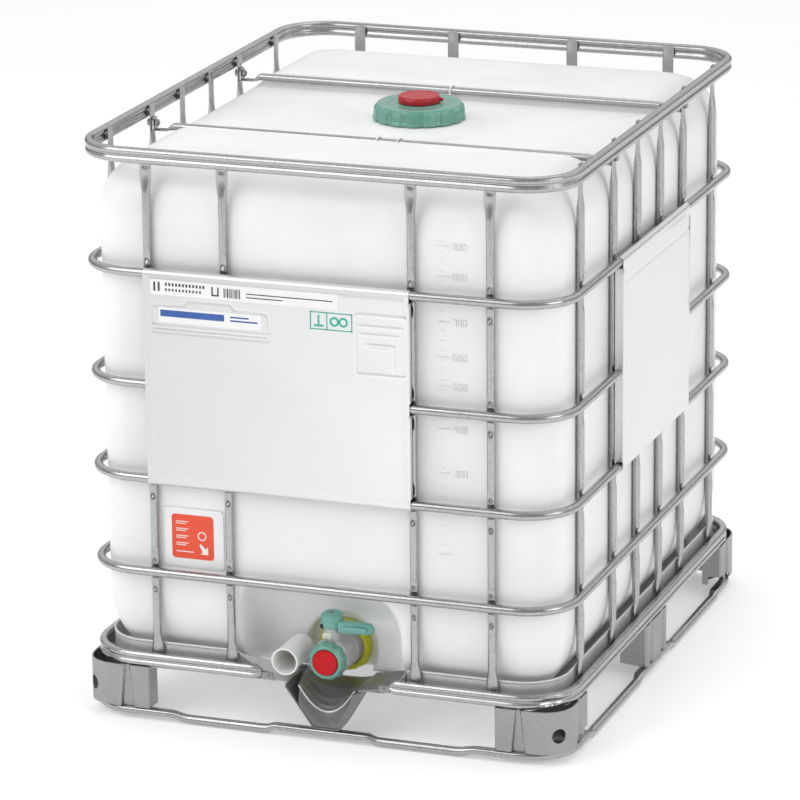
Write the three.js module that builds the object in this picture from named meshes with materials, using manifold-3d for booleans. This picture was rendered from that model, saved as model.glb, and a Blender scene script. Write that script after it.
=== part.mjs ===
// Intermediate bulk container: a blow-moulded tank in a welded tube cage on a steel pallet.
// Millimetres, +Z up. The origin is the middle of the footprint on the ground.
// The outlet valve is on the -Y face, which is the narrow front.
import * as THREE from 'three';
import { mergeVertices } from 'three/addons/utils/BufferGeometryUtils.js';
import Module from 'manifold-3d';

const wasm = await Module();
wasm.setup();

// Driving dimensions
const WIDTH = 1000;
const LENGTH = 1200;
const HEIGHT = 1150;
const GAP = 0.3;

// Cage
const RING_RADIUS = 9;
const RING_HEIGHTS = [305, 495, 685, 906];
const CAGE_X = WIDTH / 2 - 2 - RING_RADIUS;
const CAGE_Y = LENGTH / 2 - 2 - RING_RADIUS;
const CAGE_CORNER = 100;
const RAIL_HEIGHT = 30;
const BASE_RAIL_LOW = 110;
const BASE_RAIL_HIGH = BASE_RAIL_LOW + 28;
const BASE_RAIL_ENDS = { left: -122, right: 142 };
const UPRIGHT_RADIUS = 8;
const UPRIGHT_INSET = 13;
const UPRIGHT_LOW = 112;
const UPRIGHT_HIGH = HEIGHT - 4;
const SPOON_HALF_WIDTH = 12;
const SPOON_INNER = -2.7;
const DENT_LIMIT = 3.2;
const FRONT_UPRIGHTS = [-345, -189, 189, 345];
const REAR_UPRIGHTS = [-340, -131, 131, 340];
const SIDE_UPRIGHTS = [-437, -231, -76, 76, 231, 437];
const BOLTED_UPRIGHTS = [2, 5];

// Cross bars over the tank
const BAR_Y = 231;
const BAR_Z = 1105;
const BAR_RADIUS = 7.5;
const BOLT_Z = 1110;
const BOLT_RADIUS = 4;

// Tank
const TANK_X = 467.5;
const TANK_Y = 567.5;
const TANK_CORNER = 66;
const TANK_LOW = 108.4;
const TANK_TOP = 1112;
const TANK_WALL = 2.5;
const VALLEY_HALF = 243;
const VALLEY_FLOOR = 1088;
const NECK_RADIUS = 77;
const NECK_BORE = 72;
const NECK_TOP = 1123;
const RECESS = { centre: -12, halfWidth: 165, top: 302, corner: 112, back: -480 };
const WELL = { radius: 74, back: -452 };

// Lid
const LID_RADIUS = 93;
const LID_LOW = 1102;
const LID_TOP = 1133;
const LID_RIBS = 16;
const PLUG_RADIUS = 42;
const PLUG_SHANK = 28;

// Outlet valve, along Y
const VALVE_X = 4;
const VALVE_Z = 152;
const VALVE_BORE = 25;
const STEM_Y = -534;
const HUB_LOW = 213;
const HUB_HIGH = 243;
const LEVER_REACH = 88;
const NUT_BACK = -554;
const NUT_FRONT = -576;
const NUT_RIBS = 12;

// Pour spout stored beside the valve
const SPOUT = { x: -77, z: 148, radius: 26, wall: 2.5, front: -585, back: -486 };

// Pallet
const RUNNER_RADIUS = 9;
const RUNNER_FLAT = 23;
const FOOT_LOW = RUNNER_FLAT + GAP;
const FOOT_HIGH = 105.5;
const SHEET = 3;
const FOOT_FACE = 2;
const PAN_X = 469;
const PAN_Y = 569;
const PAN_LOW = 106;
const PAN_RIM = 156;
const PAN_NOTCH = { left: -118, right: 138, back: -436 };

// Colours and finish
const STEEL = { color: 0xb9bbbd, roughness: 0.32, metalness: 0.9 };
const FOOT_STEEL = { color: 0xa8a8a8, roughness: 0.5, metalness: 0.7 };
const PLATE_STEEL = { color: 0xdcdcdc, roughness: 0.4, metalness: 0.6 };
const WHITE_PLASTIC = { color: 0xf1f1ef, roughness: 0.35, metalness: 0 };
const GREEN_PLASTIC = { color: 0x70a594, roughness: 0.4, metalness: 0 };
const RED_PLASTIC = { color: 0xb02030, roughness: 0.4, metalness: 0 };
const GREY_PLASTIC = { color: 0xc4c3c4, roughness: 0.4, metalness: 0 };
const LIME_PLASTIC = { color: 0xb9bd35, roughness: 0.4, metalness: 0 };
const CREAM_PLASTIC = { color: 0xe3e6d4, roughness: 0.45, metalness: 0 };
const RUBBER = { color: 0x2b2b2b, roughness: 0.8, metalness: 0 };
const DARK_STEEL = { color: 0x4b4b4d, roughness: 0.45, metalness: 0.8 };

const container = new THREE.Group();

function addPiece(name, geometry, finish) {
  const piece = new THREE.Mesh(geometry, new THREE.MeshStandardMaterial(finish));
  piece.name = name;
  container.add(piece);
}

// --- Geometry helpers ---

function signedVolume(positions, index) {
  let volume = 0;
  const corner = (k) => new THREE.Vector3().fromArray(positions, 3 * index[k]);
  for (let k = 0; k < index.length; k += 3) {
    volume += corner(k).dot(corner(k + 1).cross(corner(k + 2)));
  }
  return volume;
}

function facesOut(positions, index) {
  if (signedVolume(positions, index) < 0) {
    index.reverse();
  }
  const geometry = new THREE.BufferGeometry();
  geometry.setAttribute('position', new THREE.Float32BufferAttribute(positions, 3));
  geometry.setIndex(index);
  return geometry;
}

// Skins a row of equal sections. A closed row joins its last section to its first.
function loft(sections, closed = false) {
  const count = sections[0].length;
  const positions = sections.flat(2);
  const index = [];
  const spans = closed ? sections.length : sections.length - 1;
  for (let row = 0; row < spans; row += 1) {
    const next = (row + 1) % sections.length;
    for (let k = 0; k < count; k += 1) {
      const a = row * count + k;
      const b = row * count + ((k + 1) % count);
      const c = next * count + ((k + 1) % count);
      const d = next * count + k;
      index.push(a, b, c, a, c, d);
    }
  }
  if (!closed) {
    [0, sections.length - 1].forEach((row) => capSection(positions, index, sections[row], row, count));
  }
  return facesOut(positions, index);
}

function capSection(positions, index, section, row, count) {
  const middle = [0, 1, 2].map((axis) => section.reduce((sum, p) => sum + p[axis], 0) / count);
  const centre = positions.length / 3;
  positions.push(...middle);
  for (let k = 0; k < count; k += 1) {
    const a = row * count + k;
    const b = row * count + ((k + 1) % count);
    index.push(...(row === 0 ? [centre, b, a] : [centre, a, b]));
  }
}

function asSolid(geometry) {
  const bare = geometry.clone();
  bare.deleteAttribute('normal');
  bare.deleteAttribute('uv');
  const merged = mergeVertices(bare, 1e-4);
  const vertProperties = new Float32Array(merged.attributes.position.array);
  const triVerts = new Uint32Array(merged.index.array);
  return new wasm.Manifold(new wasm.Mesh({ numProp: 3, vertProperties, triVerts }));
}

function asGeometry(solid) {
  const mesh = solid.getMesh();
  const geometry = new THREE.BufferGeometry();
  geometry.setAttribute('position', new THREE.BufferAttribute(mesh.vertProperties, 3));
  geometry.setIndex(new THREE.BufferAttribute(mesh.triVerts, 1));
  return geometry;
}

function combine(base, added, removed = []) {
  let solid = asSolid(base);
  added.forEach((piece) => {
    solid = solid.add(asSolid(piece));
  });
  removed.forEach((piece) => {
    solid = solid.subtract(asSolid(piece));
  });
  return asGeometry(solid);
}

function boxBetween(low, high) {
  const size = high.map((value, axis) => value - low[axis]);
  const geometry = new THREE.BoxGeometry(...size);
  return geometry.translate(...high.map((value, axis) => (value + low[axis]) / 2));
}

// A lathe profile is a list of [radius, height] that is closed or ends on the axis.
function turned(profile, sides) {
  const points = profile.map(([radius, height]) => new THREE.Vector2(radius, height));
  return facesOutCopy(new THREE.LatheGeometry(points, sides).rotateX(Math.PI / 2));
}

function facesOutCopy(geometry) {
  const bare = geometry.clone();
  bare.deleteAttribute('normal');
  bare.deleteAttribute('uv');
  const merged = mergeVertices(bare, 1e-4);
  const index = dropSlivers(Array.from(merged.index.array));
  return facesOut(Array.from(merged.attributes.position.array), index);
}

function dropSlivers(index) {
  const kept = [];
  for (let k = 0; k < index.length; k += 3) {
    const [a, b, c] = index.slice(k, k + 3);
    if (a !== b && b !== c && c !== a) {
      kept.push(a, b, c);
    }
  }
  return kept;
}

function ringProfile(inner, outer, low, high) {
  return [[inner, low], [outer, low], [outer, high], [inner, high], [inner, low]];
}

// Turns a solid made along +Z so that it runs along -Y from the valve's axis.
function alongValve(geometry) {
  return geometry.rotateX(Math.PI / 2).translate(VALVE_X, 0, VALVE_Z);
}

function rod(radius, from, to, sides = 12) {
  const start = new THREE.Vector3(...from);
  const end = new THREE.Vector3(...to);
  const geometry = new THREE.CylinderGeometry(radius, radius, start.distanceTo(end), sides);
  const turn = new THREE.Quaternion();
  turn.setFromUnitVectors(new THREE.Vector3(0, 1, 0), end.clone().sub(start).normalize());
  geometry.applyQuaternion(turn);
  return geometry.translate(...start.add(end).multiplyScalar(0.5).toArray());
}

// Points of a rounded rectangle, anticlockwise from the front right corner, with outward normals.
function roundedPath(halfX, halfY, radius, steps = 4) {
  const path = [];
  const corners = [[1, -1, -90], [1, 1, 0], [-1, 1, 90], [-1, -1, 180]];
  corners.forEach(([signX, signY, first]) => {
    for (let k = 0; k <= steps; k += 1) {
      const angle = THREE.MathUtils.degToRad(first + (90 * k) / steps);
      const normal = [Math.cos(angle), Math.sin(angle)];
      const x = signX * (halfX - radius) + radius * normal[0];
      const y = signY * (halfY - radius) + radius * normal[1];
      path.push({ x, y, normal });
    }
  });
  return path;
}

function sweepPath(path, profileAt, closed = true) {
  const sections = path.map((point) => profileAt(point).map(([out, z]) => [
    point.x + point.normal[0] * out,
    point.y + point.normal[1] * out,
    z,
  ]));
  return loft(sections, closed);
}

function roundProfile(radius, z, sides = 8) {
  return Array.from({ length: sides }, (_, k) => {
    const angle = (2 * Math.PI * k) / sides;
    return [radius * Math.cos(angle), z + radius * Math.sin(angle)];
  });
}

function prism(points, low, high) {
  const shape = new THREE.Shape(points.map(([x, y]) => new THREE.Vector2(x, y)));
  const geometry = new THREE.ExtrudeGeometry(shape, { depth: high - low, bevelEnabled: false });
  return geometry.translate(0, 0, low);
}

// A prism whose outline is given as [y, z].
function prismAlongX(points, low, high) {
  return facesOutCopy(prism(points, low, high).rotateX(Math.PI / 2).rotateZ(Math.PI / 2));
}

// A prism whose outline is given as [x, z].
function prismAlongY(points, low, high) {
  return facesOutCopy(prism(points, -high, -low).rotateX(Math.PI / 2));
}

function roundedPrism(halfX, halfY, radius, low, high) {
  const points = roundedPath(halfX, halfY, radius).map(({ x, y }) => [x, y]);
  return prism(points, low, high);
}

// A sheet's outline: a bent line given thickness on its left, with mitred corners.
function ribbon(points, thickness) {
  const left = points.map((point, k) => {
    const before = points[Math.max(k - 1, 0)];
    const after = points[Math.min(k + 1, points.length - 1)];
    const normals = [[before, point], [point, after]]
      .map(([a, b]) => new THREE.Vector2(a[1] - b[1], b[0] - a[0]))
      .filter((normal) => normal.length() > 0)
      .map((normal) => normal.normalize());
    const mean = normals.reduce((sum, normal) => sum.add(normal), new THREE.Vector2()).normalize();
    const reach = thickness / mean.dot(normals[0]);
    return [point[0] + mean.x * reach, point[1] + mean.y * reach];
  });
  return [...points, ...left.reverse()];
}

// --- Cage ---

function makeRings() {
  const path = roundedPath(CAGE_X, CAGE_Y, CAGE_CORNER);
  RING_HEIGHTS.forEach((z, k) => {
    const ring = sweepPath(path, () => roundProfile(RING_RADIUS, z));
    addPiece(`cage_ring_${RING_HEIGHTS.length - k}`, ring, STEEL);
  });
}

// Two beads with a groove between them, rolled from one tube.
function beadProfile(low, high) {
  const stretch = (high - low) / RAIL_HEIGHT;
  const half = [[4, 0], [9, 6], [8, 12], [5.5, 16], [7.5, 20], [7.5, 26], [5, 30]];
  const outer = half.map(([out, drop]) => [out, high - drop * stretch]);
  const inner = outer.map(([out, z]) => [-out, z]).reverse();
  return [...outer, ...inner];
}

function makeRails() {
  const path = roundedPath(CAGE_X, CAGE_Y, CAGE_CORNER);
  const topRail = sweepPath(path, () => beadProfile(HEIGHT - RAIL_HEIGHT, HEIGHT));
  addPiece('top_rail', topRail, STEEL);
  const frontNormal = [0, -1];
  const start = { x: BASE_RAIL_ENDS.right, y: -CAGE_Y, normal: frontNormal };
  const end = { x: BASE_RAIL_ENDS.left, y: -CAGE_Y, normal: frontNormal };
  const profile = () => beadProfile(BASE_RAIL_LOW, BASE_RAIL_HIGH);
  addPiece('base_rail', sweepPath([start, ...path, end], profile, false), STEEL);
}

// An upright's sections: [z, half width, inner limit, outer limit] across the tube.
function uprightStations() {
  const round = (z) => [z, UPRIGHT_RADIUS, -UPRIGHT_RADIUS, UPRIGHT_RADIUS];
  const spoon = (z) => [z, SPOON_HALF_WIDTH, SPOON_INNER, DENT_LIMIT];
  const crossings = RING_HEIGHTS.flatMap((z) => [
    round(z - 16),
    [z, UPRIGHT_RADIUS + 1, -UPRIGHT_RADIUS, DENT_LIMIT],
    round(z + 16),
  ]);
  return [
    spoon(UPRIGHT_LOW), spoon(146), round(172),
    ...crossings,
    round(1064), spoon(1092), spoon(UPRIGHT_HIGH),
  ];
}

function makeUpright(name, x, y, out, hole) {
  const sections = uprightStations().map(([z, halfWidth, inner, outer]) => (
    Array.from({ length: 8 }, (_, k) => {
      const angle = (Math.PI * k) / 4;
      const along = halfWidth * Math.cos(angle);
      const across = THREE.MathUtils.clamp(UPRIGHT_RADIUS * Math.sin(angle), inner, outer);
      return [x + out[0] * across - out[1] * along, y + out[1] * across + out[0] * along, z];
    })
  ));
  const tube = loft(sections);
  addPiece(name, hole ? combine(tube, [], [hole]) : tube, STEEL);
}

function makeUprights() {
  const planeX = CAGE_X - UPRIGHT_INSET;
  const planeY = CAGE_Y - UPRIGHT_INSET;
  FRONT_UPRIGHTS.forEach((x, k) => makeUpright(`front_upright_${k + 1}`, x, -planeY, [0, -1]));
  REAR_UPRIGHTS.forEach((x, k) => makeUpright(`rear_upright_${k + 1}`, x, planeY, [0, 1]));
  [['left', -1], ['right', 1]].forEach(([side, sign]) => {
    SIDE_UPRIGHTS.forEach((y, k) => {
      const from = [sign * (planeX - 12), y, BOLT_Z];
      const to = [sign * (planeX + 12), y, BOLT_Z];
      const hole = BOLTED_UPRIGHTS.includes(k + 1) ? rod(BOLT_RADIUS + GAP, from, to) : null;
      makeUpright(`${side}_upright_${k + 1}`, sign * planeX, y, [sign, 0], hole);
    });
  });
}

// A tube whose ends are pressed into low tabs that turn up against the uprights.
function makeCrossBar(name, y) {
  const innerFace = CAGE_X - UPRIGHT_INSET + SPOON_INNER - GAP;
  const tabThickness = 4;
  const plateZ = BAR_Z - BAR_RADIUS - 1.5;
  const station = (x, halfWidth, low, high) => Array.from({ length: 8 }, (_, k) => {
    const angle = (Math.PI * k) / 4;
    const z = (low + high) / 2 + ((high - low) / 2) * Math.sin(angle);
    return [x, y + halfWidth * Math.cos(angle), z];
  });
  const flat = (x) => station(x, 11, plateZ - 2, plateZ + 2);
  const round = (x) => station(x, BAR_RADIUS, BAR_Z - BAR_RADIUS, BAR_Z + BAR_RADIUS);
  const stations = [
    flat(-innerFace + 1), flat(-450), round(-428), round(428), flat(450), flat(innerFace - 1),
  ];
  const tabs = [-1, 1].map((sign) => {
    const near = sign * (innerFace - tabThickness);
    const far = sign * innerFace;
    const low = [Math.min(near, far), y - 10, plateZ - 1.5];
    return boxBetween(low, [Math.max(near, far), y + 10, BOLT_Z + 11]);
  });
  const hole = rod(BOLT_RADIUS + GAP, [-WIDTH / 2, y, BOLT_Z], [WIDTH / 2, y, BOLT_Z]);
  addPiece(name, combine(loft(stations), tabs, [hole]), STEEL);
}

function makeBarBolt(name, sign, y) {
  const outside = CAGE_X - UPRIGHT_INSET + DENT_LIMIT + GAP;
  const inside = CAGE_X - UPRIGHT_INSET + SPOON_INNER - 2 * GAP - 4;
  const at = (x) => [sign * x, y, BOLT_Z];
  const shank = rod(BOLT_RADIUS, at(inside - 8), at(outside + 1));
  const head = rod(7.5, at(outside), at(outside + 5.3), 6);
  const nut = rod(7.5, at(inside - 6.5), at(inside), 6);
  addPiece(name, combine(shank, [head, nut]), DARK_STEEL);
}

function makeCrossBars() {
  [['front', -BAR_Y], ['rear', BAR_Y]].forEach(([place, y]) => {
    makeCrossBar(`${place}_cross_bar`, y);
    makeBarBolt(`${place}_left_bar_bolt`, -1, y);
    makeBarBolt(`${place}_right_bar_bolt`, 1, y);
  });
}

// A sheet rolled round a ring at its top and bottom. Its section is [out, z] from the ring's middle.
function plateSection(lowRing, highRing) {
  const radius = RING_RADIUS + GAP;
  const roll = (z, angles) => angles.map((degrees) => {
    const angle = THREE.MathUtils.degToRad(degrees);
    return [radius * Math.cos(angle), z + radius * Math.sin(angle)];
  });
  return ribbon([...roll(lowRing, [-75, -50, -25, 0]), ...roll(highRing, [0, 25, 50, 75])], -1.2);
}

function makeLabelPlates() {
  const section = plateSection(RING_HEIGHTS[1], RING_HEIGHTS[3]);
  const front = section.map(([out, z]) => [-CAGE_Y - out, z]);
  addPiece('front_label_plate', prismAlongX(front, -347, 191), PLATE_STEEL);
  const side = section.map(([out, z]) => [CAGE_X + out, z]);
  addPiece('side_label_plate', prismAlongY(side, -240, 206), PLATE_STEEL);
}

// --- Tank ---

// The tank's silhouette: [z, how far the wall stands in from its full size].
const TANK_PROFILE = [
  [TANK_LOW, 66], [120, 38], [142, 20], [178, 7], [225, 0],
  [1012, 0], [1056, 9], [1086, 28], [1104, 54], [TANK_TOP, 88],
];

function tankBody(shrink) {
  const sections = TANK_PROFILE.map(([z, inset], k) => {
    const level = k === 0 ? z + shrink : k === TANK_PROFILE.length - 1 ? z - shrink : z;
    const corner = TANK_CORNER - shrink - inset * 0.35;
    const path = roundedPath(TANK_X - inset - shrink, TANK_Y - inset - shrink, corner, 3);
    return path.map(({ x, y }) => [x, y, level]);
  });
  return loft(sections);
}

function tankValley(grow) {
  const half = VALLEY_HALF + grow;
  const low = VALLEY_FLOOR - grow;
  return boxBetween([-WIDTH, -half, low], [WIDTH, half, HEIGHT]);
}

function tankRecess(grow) {
  const { centre, halfWidth, top, corner, back } = RECESS;
  const half = halfWidth + grow;
  const shape = new THREE.Shape();
  shape.moveTo(centre - half, -50);
  shape.lineTo(centre + half, -50);
  shape.lineTo(centre + half, top + grow - corner);
  shape.absarc(centre + half - corner, top + grow - corner, corner, 0, Math.PI / 2);
  shape.lineTo(centre - half + corner / 2, top + grow);
  shape.absarc(centre - half + corner / 2, top + grow - corner / 2, corner / 2, Math.PI / 2, Math.PI);
  const depth = LENGTH / 2 + back + grow;
  const geometry = new THREE.ExtrudeGeometry(shape, { depth, bevelEnabled: false, curveSegments: 5 });
  return geometry.rotateX(Math.PI / 2).translate(0, back + grow, 0);
}

function tankWell(grow) {
  const from = [VALVE_X, -LENGTH / 2, VALVE_Z];
  return rod(WELL.radius + grow, from, [VALVE_X, WELL.back + grow, VALVE_Z], 20);
}

function makeTank() {
  const outside = combine(tankBody(0), [], [tankValley(0), tankRecess(0), tankWell(0)]);
  const wall = TANK_WALL;
  const hollow = combine(tankBody(wall), [], [tankValley(wall), tankRecess(wall), tankWell(wall)]);
  const neck = rod(NECK_RADIUS, [0, 0, VALLEY_FLOOR - wall / 2], [0, 0, NECK_TOP], 24);
  const mouth = rod(NECK_BORE, [0, 0, VALLEY_FLOOR - 20], [0, 0, HEIGHT], 24);
  const valveAt = (y) => [VALVE_X, y, VALVE_Z];
  const stub = rod(34, valveAt(WELL.back + wall / 2), valveAt(-462), 20);
  const drain = rod(VALVE_BORE, valveAt(WELL.back + 20), valveAt(-LENGTH / 2), 20);
  const shell = combine(outside, [neck, stub], [hollow, mouth, drain]);
  addPiece('tank', shell, WHITE_PLASTIC);
}

// --- Lid ---

function makeLid() {
  const roof = NECK_TOP + 4.8;
  const bore = PLUG_SHANK + GAP + 0.5;
  const cup = turned([
    [bore, roof], [NECK_RADIUS + 2, roof], [NECK_RADIUS + 2, LID_LOW], [LID_RADIUS - 3, LID_LOW],
    [LID_RADIUS - 3, LID_TOP - 6], [LID_RADIUS - 9, LID_TOP], [bore, LID_TOP], [bore, roof],
  ], 32);
  const ribs = Array.from({ length: LID_RIBS }, (_, k) => {
    const rib = boxBetween([LID_RADIUS - 8, -5, LID_LOW], [LID_RADIUS, 5, LID_TOP - 8]);
    return rib.rotateZ((2 * Math.PI * k) / LID_RIBS);
  });
  addPiece('fill_lid', combine(cup, ribs), GREEN_PLASTIC);
  const gasket = ringProfile(NECK_BORE - 2, NECK_RADIUS + 1.5, NECK_TOP + GAP, roof - GAP);
  addPiece('fill_lid_gasket', turned(gasket, 24), RUBBER);
  addPiece('vent_seal', turned(ringProfile(28.4, 37, LID_TOP + GAP, LID_TOP + 3.3), 20), RUBBER);
}

function makeVentPlug() {
  const seat = LID_TOP + 3.6;
  const skirt = PLUG_RADIUS - 4.5;
  const plug = turned([
    [0, LID_TOP - 15], [PLUG_SHANK, LID_TOP - 15], [PLUG_SHANK, seat], [skirt, seat],
    [skirt, LID_TOP + 0.8], [PLUG_RADIUS, LID_TOP + 0.8], [PLUG_RADIUS, LID_TOP + 12],
    [PLUG_RADIUS - 2.5, LID_TOP + 15], [0, LID_TOP + 15],
  ], 24);
  const tab = boxBetween([PLUG_RADIUS - 2, -5, LID_TOP + 3], [PLUG_RADIUS + 6, 5, LID_TOP + 9]);
  addPiece('vent_plug', combine(plug, [tab.rotateZ(0.25)]), RED_PLASTIC);
}

// --- Outlet valve ---

function valveTurned(profile, sides) {
  const along = profile.map(([radius, y]) => [radius, -y]);
  return facesOutCopy(alongValve(turned(along, sides)));
}

function makeValveBody() {
  const stub = 34 + 2 * GAP;
  const tube = valveTurned([
    [stub, -453.5], [44, -453.5], [44, -461], [40, -466], [36, -470], [36, NUT_BACK + 3],
    [31, NUT_BACK + 1], [31, NUT_FRONT + 7], [VALVE_BORE, NUT_FRONT + 7],
    [VALVE_BORE, -462 - GAP], [stub, -462 - GAP],
    [stub, -453.5],
  ], 24);
  const at = (z) => [VALVE_X, STEM_Y, z];
  const boss = rod(15, at(VALVE_Z + 30), at(HUB_LOW - GAP), 16);
  const stemBore = rod(6, at(VALVE_Z), at(HUB_LOW + 5), 12);
  addPiece('valve_body', combine(tube, [boss], [stemBore]), GREY_PLASTIC);
}

function makeLockRing() {
  const ring = valveTurned([
    [44 + GAP, -453], [52, -453], [52, -464], [48, -470], [44 + GAP, -470], [44 + GAP, -453],
  ], 24);
  const lugs = [40, 130, 220, 310].map((degrees) => {
    const lug = boxBetween([49, 453.2, -6], [55, 463.5, 6]);
    lug.rotateY(THREE.MathUtils.degToRad(degrees)).rotateX(Math.PI);
    return lug.translate(VALVE_X, 0, VALVE_Z);
  });
  addPiece('valve_lock_ring', combine(ring, lugs), LIME_PLASTIC);
}

function makeValveDisc() {
  const face = (y) => [VALVE_X, STEM_Y + y, VALVE_Z];
  const disc = rod(VALVE_BORE - 0.6, face(-2.5), face(2.5), 24);
  const stem = rod(5.4, [VALVE_X, STEM_Y, VALVE_Z - 20], [VALVE_X, STEM_Y, HUB_LOW + 8], 12);
  addPiece('valve_disc', combine(disc, [stem]), GREY_PLASTIC);
}

// The hub sits on the stem. The grip reaches out to +X when the valve is shut.
function makeLever() {
  const at = (z) => [VALVE_X, STEM_Y, z];
  const hub = rod(21, at(HUB_LOW), at(HUB_HIGH), 20);
  const socket = rod(5.4 + GAP, at(HUB_LOW - 5), at(HUB_LOW + 8 + GAP), 12);
  const screwHole = rod(2.6, at(HUB_LOW), at(HUB_HIGH + 5), 8);
  const counterbore = rod(5.5, at(HUB_HIGH - 3), at(HUB_HIGH + 5), 10);
  const side = [[0, 13], [60, 12], [78, 9], [LEVER_REACH, 3]];
  const outline = [...side.map(([x, y]) => [x, -y]), ...side.reverse()];
  const grip = prism(outline.map(([x, y]) => [VALVE_X + x, STEM_Y + y]), HUB_LOW - 8, HUB_LOW + 15);
  const fromStem = (x, y, z) => [VALVE_X + x, STEM_Y + y, HUB_LOW + z];
  const bossRoom = boxBetween(fromStem(-30, -20, -20), fromStem(18, 20, 0));
  const hollow = boxBetween(fromStem(LEVER_REACH - 60, -9, -9), fromStem(LEVER_REACH - 12, 9, 4));
  const lever = combine(hub, [grip], [bossRoom, socket, screwHole, counterbore, hollow]);
  addPiece('valve_lever', lever, GREEN_PLASTIC);
  const shank = rod(2.2, at(HUB_LOW + 9), at(HUB_HIGH - 2), 8);
  const head = rod(5, at(HUB_HIGH - 2.7), at(HUB_HIGH + 0.5), 10);
  addPiece('lever_screw', combine(shank, [head]), DARK_STEEL);
}

function makeOutletCap() {
  const nut = valveTurned([
    [31 + GAP, NUT_BACK], [36, NUT_BACK], [36, NUT_FRONT + 3], [33.5, NUT_FRONT], [26, NUT_FRONT],
    [26, NUT_FRONT + 3], [31 + GAP, NUT_FRONT + 3], [31 + GAP, NUT_BACK],
  ], 24);
  const ribs = Array.from({ length: NUT_RIBS }, (_, k) => {
    const rib = boxBetween([33, -NUT_BACK, -3], [39, -NUT_FRONT - 3, 3]);
    rib.rotateY((2 * Math.PI * (k + 0.5)) / NUT_RIBS).rotateX(Math.PI);
    return rib.translate(VALVE_X, 0, VALVE_Z);
  });
  addPiece('outlet_nut', combine(nut, ribs), GREEN_PLASTIC);
  const disc = valveTurned([
    [0, 4.8], [30.5, 4.8], [30.5, 3.3], [25.5, 3.3], [25.5, -2], [23, -3.5], [0, -3.5],
  ].map(([radius, y]) => [radius, NUT_FRONT + y]), 24);
  addPiece('outlet_cap_disc', disc, RED_PLASTIC);
  const seal = valveTurned(ringProfile(VALVE_BORE + 0.5, 30.5, NUT_FRONT + 5.1, NUT_FRONT + 6.7), 24);
  addPiece('outlet_seal', seal, RUBBER);
}

// A break-off tag that is clipped to the front of the stem boss, below the lever's swing.
function makeTamperTag() {
  const low = VALVE_Z + 40.5;
  const front = STEM_Y - 18.4;
  const tag = boxBetween([VALVE_X - 13, front, low], [VALVE_X + 3, front + 2.8, HUB_LOW - 8.5]);
  const bead = boxBetween([VALVE_X - 9, front - 1, low + 3], [VALVE_X - 1, front + 1, low + 6]);
  addPiece('tamper_tag', combine(tag, [bead]), CREAM_PLASTIC);
}

function makeSpout() {
  const { x, z, radius, wall, front, back } = SPOUT;
  const tube = facesOutCopy(turned([
    [radius - wall, -back], [radius, -back], [radius, -front - 8], [radius + 1.5, -front - 8],
    [radius + 1.5, -front], [radius - wall, -front], [radius - wall, -back],
  ], 20).rotateX(Math.PI / 2).translate(x, 0, z));
  addPiece('pour_spout', tube, WHITE_PLASTIC);
}

// --- Pallet ---

// Stations along the runner. It is round between the feet and pressed flat under them.
function runnerPath() {
  const halfX = WIDTH / 2 - RUNNER_RADIUS;
  const halfY = LENGTH / 2 - RUNNER_RADIUS;
  const corners = roundedPath(halfX, halfY, 90);
  const perCorner = corners.length / 4;
  const flatEnds = { x: 335, y: 440 };
  const footHalf = 95;
  const blend = 22;
  const offsets = (end) => [
    [-end, true], [-end + blend, false], [-footHalf - blend, false], [-footHalf, true],
    [footHalf, true], [footHalf + blend, false], [end - blend, false], [end, true],
  ];
  const sides = [
    offsets(flatEnds.y).map(([t, flat]) => ({ x: halfX, y: t, normal: [1, 0], flat })),
    offsets(flatEnds.x).map(([t, flat]) => ({ x: -t, y: halfY, normal: [0, 1], flat })),
    offsets(flatEnds.y).map(([t, flat]) => ({ x: -halfX, y: -t, normal: [-1, 0], flat })),
    offsets(flatEnds.x).map(([t, flat]) => ({ x: t, y: -halfY, normal: [0, -1], flat })),
  ];
  return sides.flatMap((side, k) => [
    ...corners.slice(k * perCorner, (k + 1) * perCorner).map((point) => ({ ...point, flat: true })),
    ...side,
  ]);
}

// The round stretches rest on the ground. The pressed ones are bent up to the feet.
function makeRunner() {
  const r = RUNNER_RADIUS;
  const side = r * Math.tan(Math.PI / 8);
  const round = [
    [r, r + side], [side, 2 * r], [-side, 2 * r], [-r, r + side],
    [-r, r - side], [-side, 0], [side, 0], [r, r - side],
  ];
  const low = RUNNER_FLAT - 15;
  const pressed = [
    [9, low + 11], [6, RUNNER_FLAT], [-9, RUNNER_FLAT], [-12, low + 11],
    [-12, low + 4], [-9, low], [6, low], [9, low + 4],
  ];
  const runner = sweepPath(runnerPath(), (point) => (point.flat ? pressed : round));
  addPiece('runner_frame', runner, STEEL);
}

function makeCornerFoot(name, signX, signY) {
  const faceX = WIDTH / 2 - FOOT_FACE;
  const faceY = LENGTH / 2 - FOOT_FACE;
  const outline = [
    [356, faceY - 25], [356, faceY], [faceX - 48, faceY],
    [faceX, faceY - 48], [faceX, 456], [faceX - 25, 456],
  ];
  const plan = ribbon(outline, -SHEET).map(([x, y]) => [x * signX, y * signY]);
  const middle = [faceX - 24, faceY - 24];
  const at = (reach) => [(middle[0] + reach) * signX, (middle[1] + reach) * signY, 60];
  const foot = combine(prism(plan, FOOT_LOW, FOOT_HIGH), [], [rod(14.5, at(-12), at(12), 16)]);
  addPiece(name, foot, FOOT_STEEL);
}

// A pressed channel that opens inwards. It is drawn facing +X and then turned.
function makeMiddleFoot(name, face, turn) {
  const outline = [[face - 60, -58], [face, -72], [face, 72], [face - 60, 58]];
  const foot = prism(ribbon(outline, SHEET), FOOT_LOW, FOOT_HIGH);
  addPiece(name, facesOutCopy(foot.rotateZ(turn)), FOOT_STEEL);
}

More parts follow.
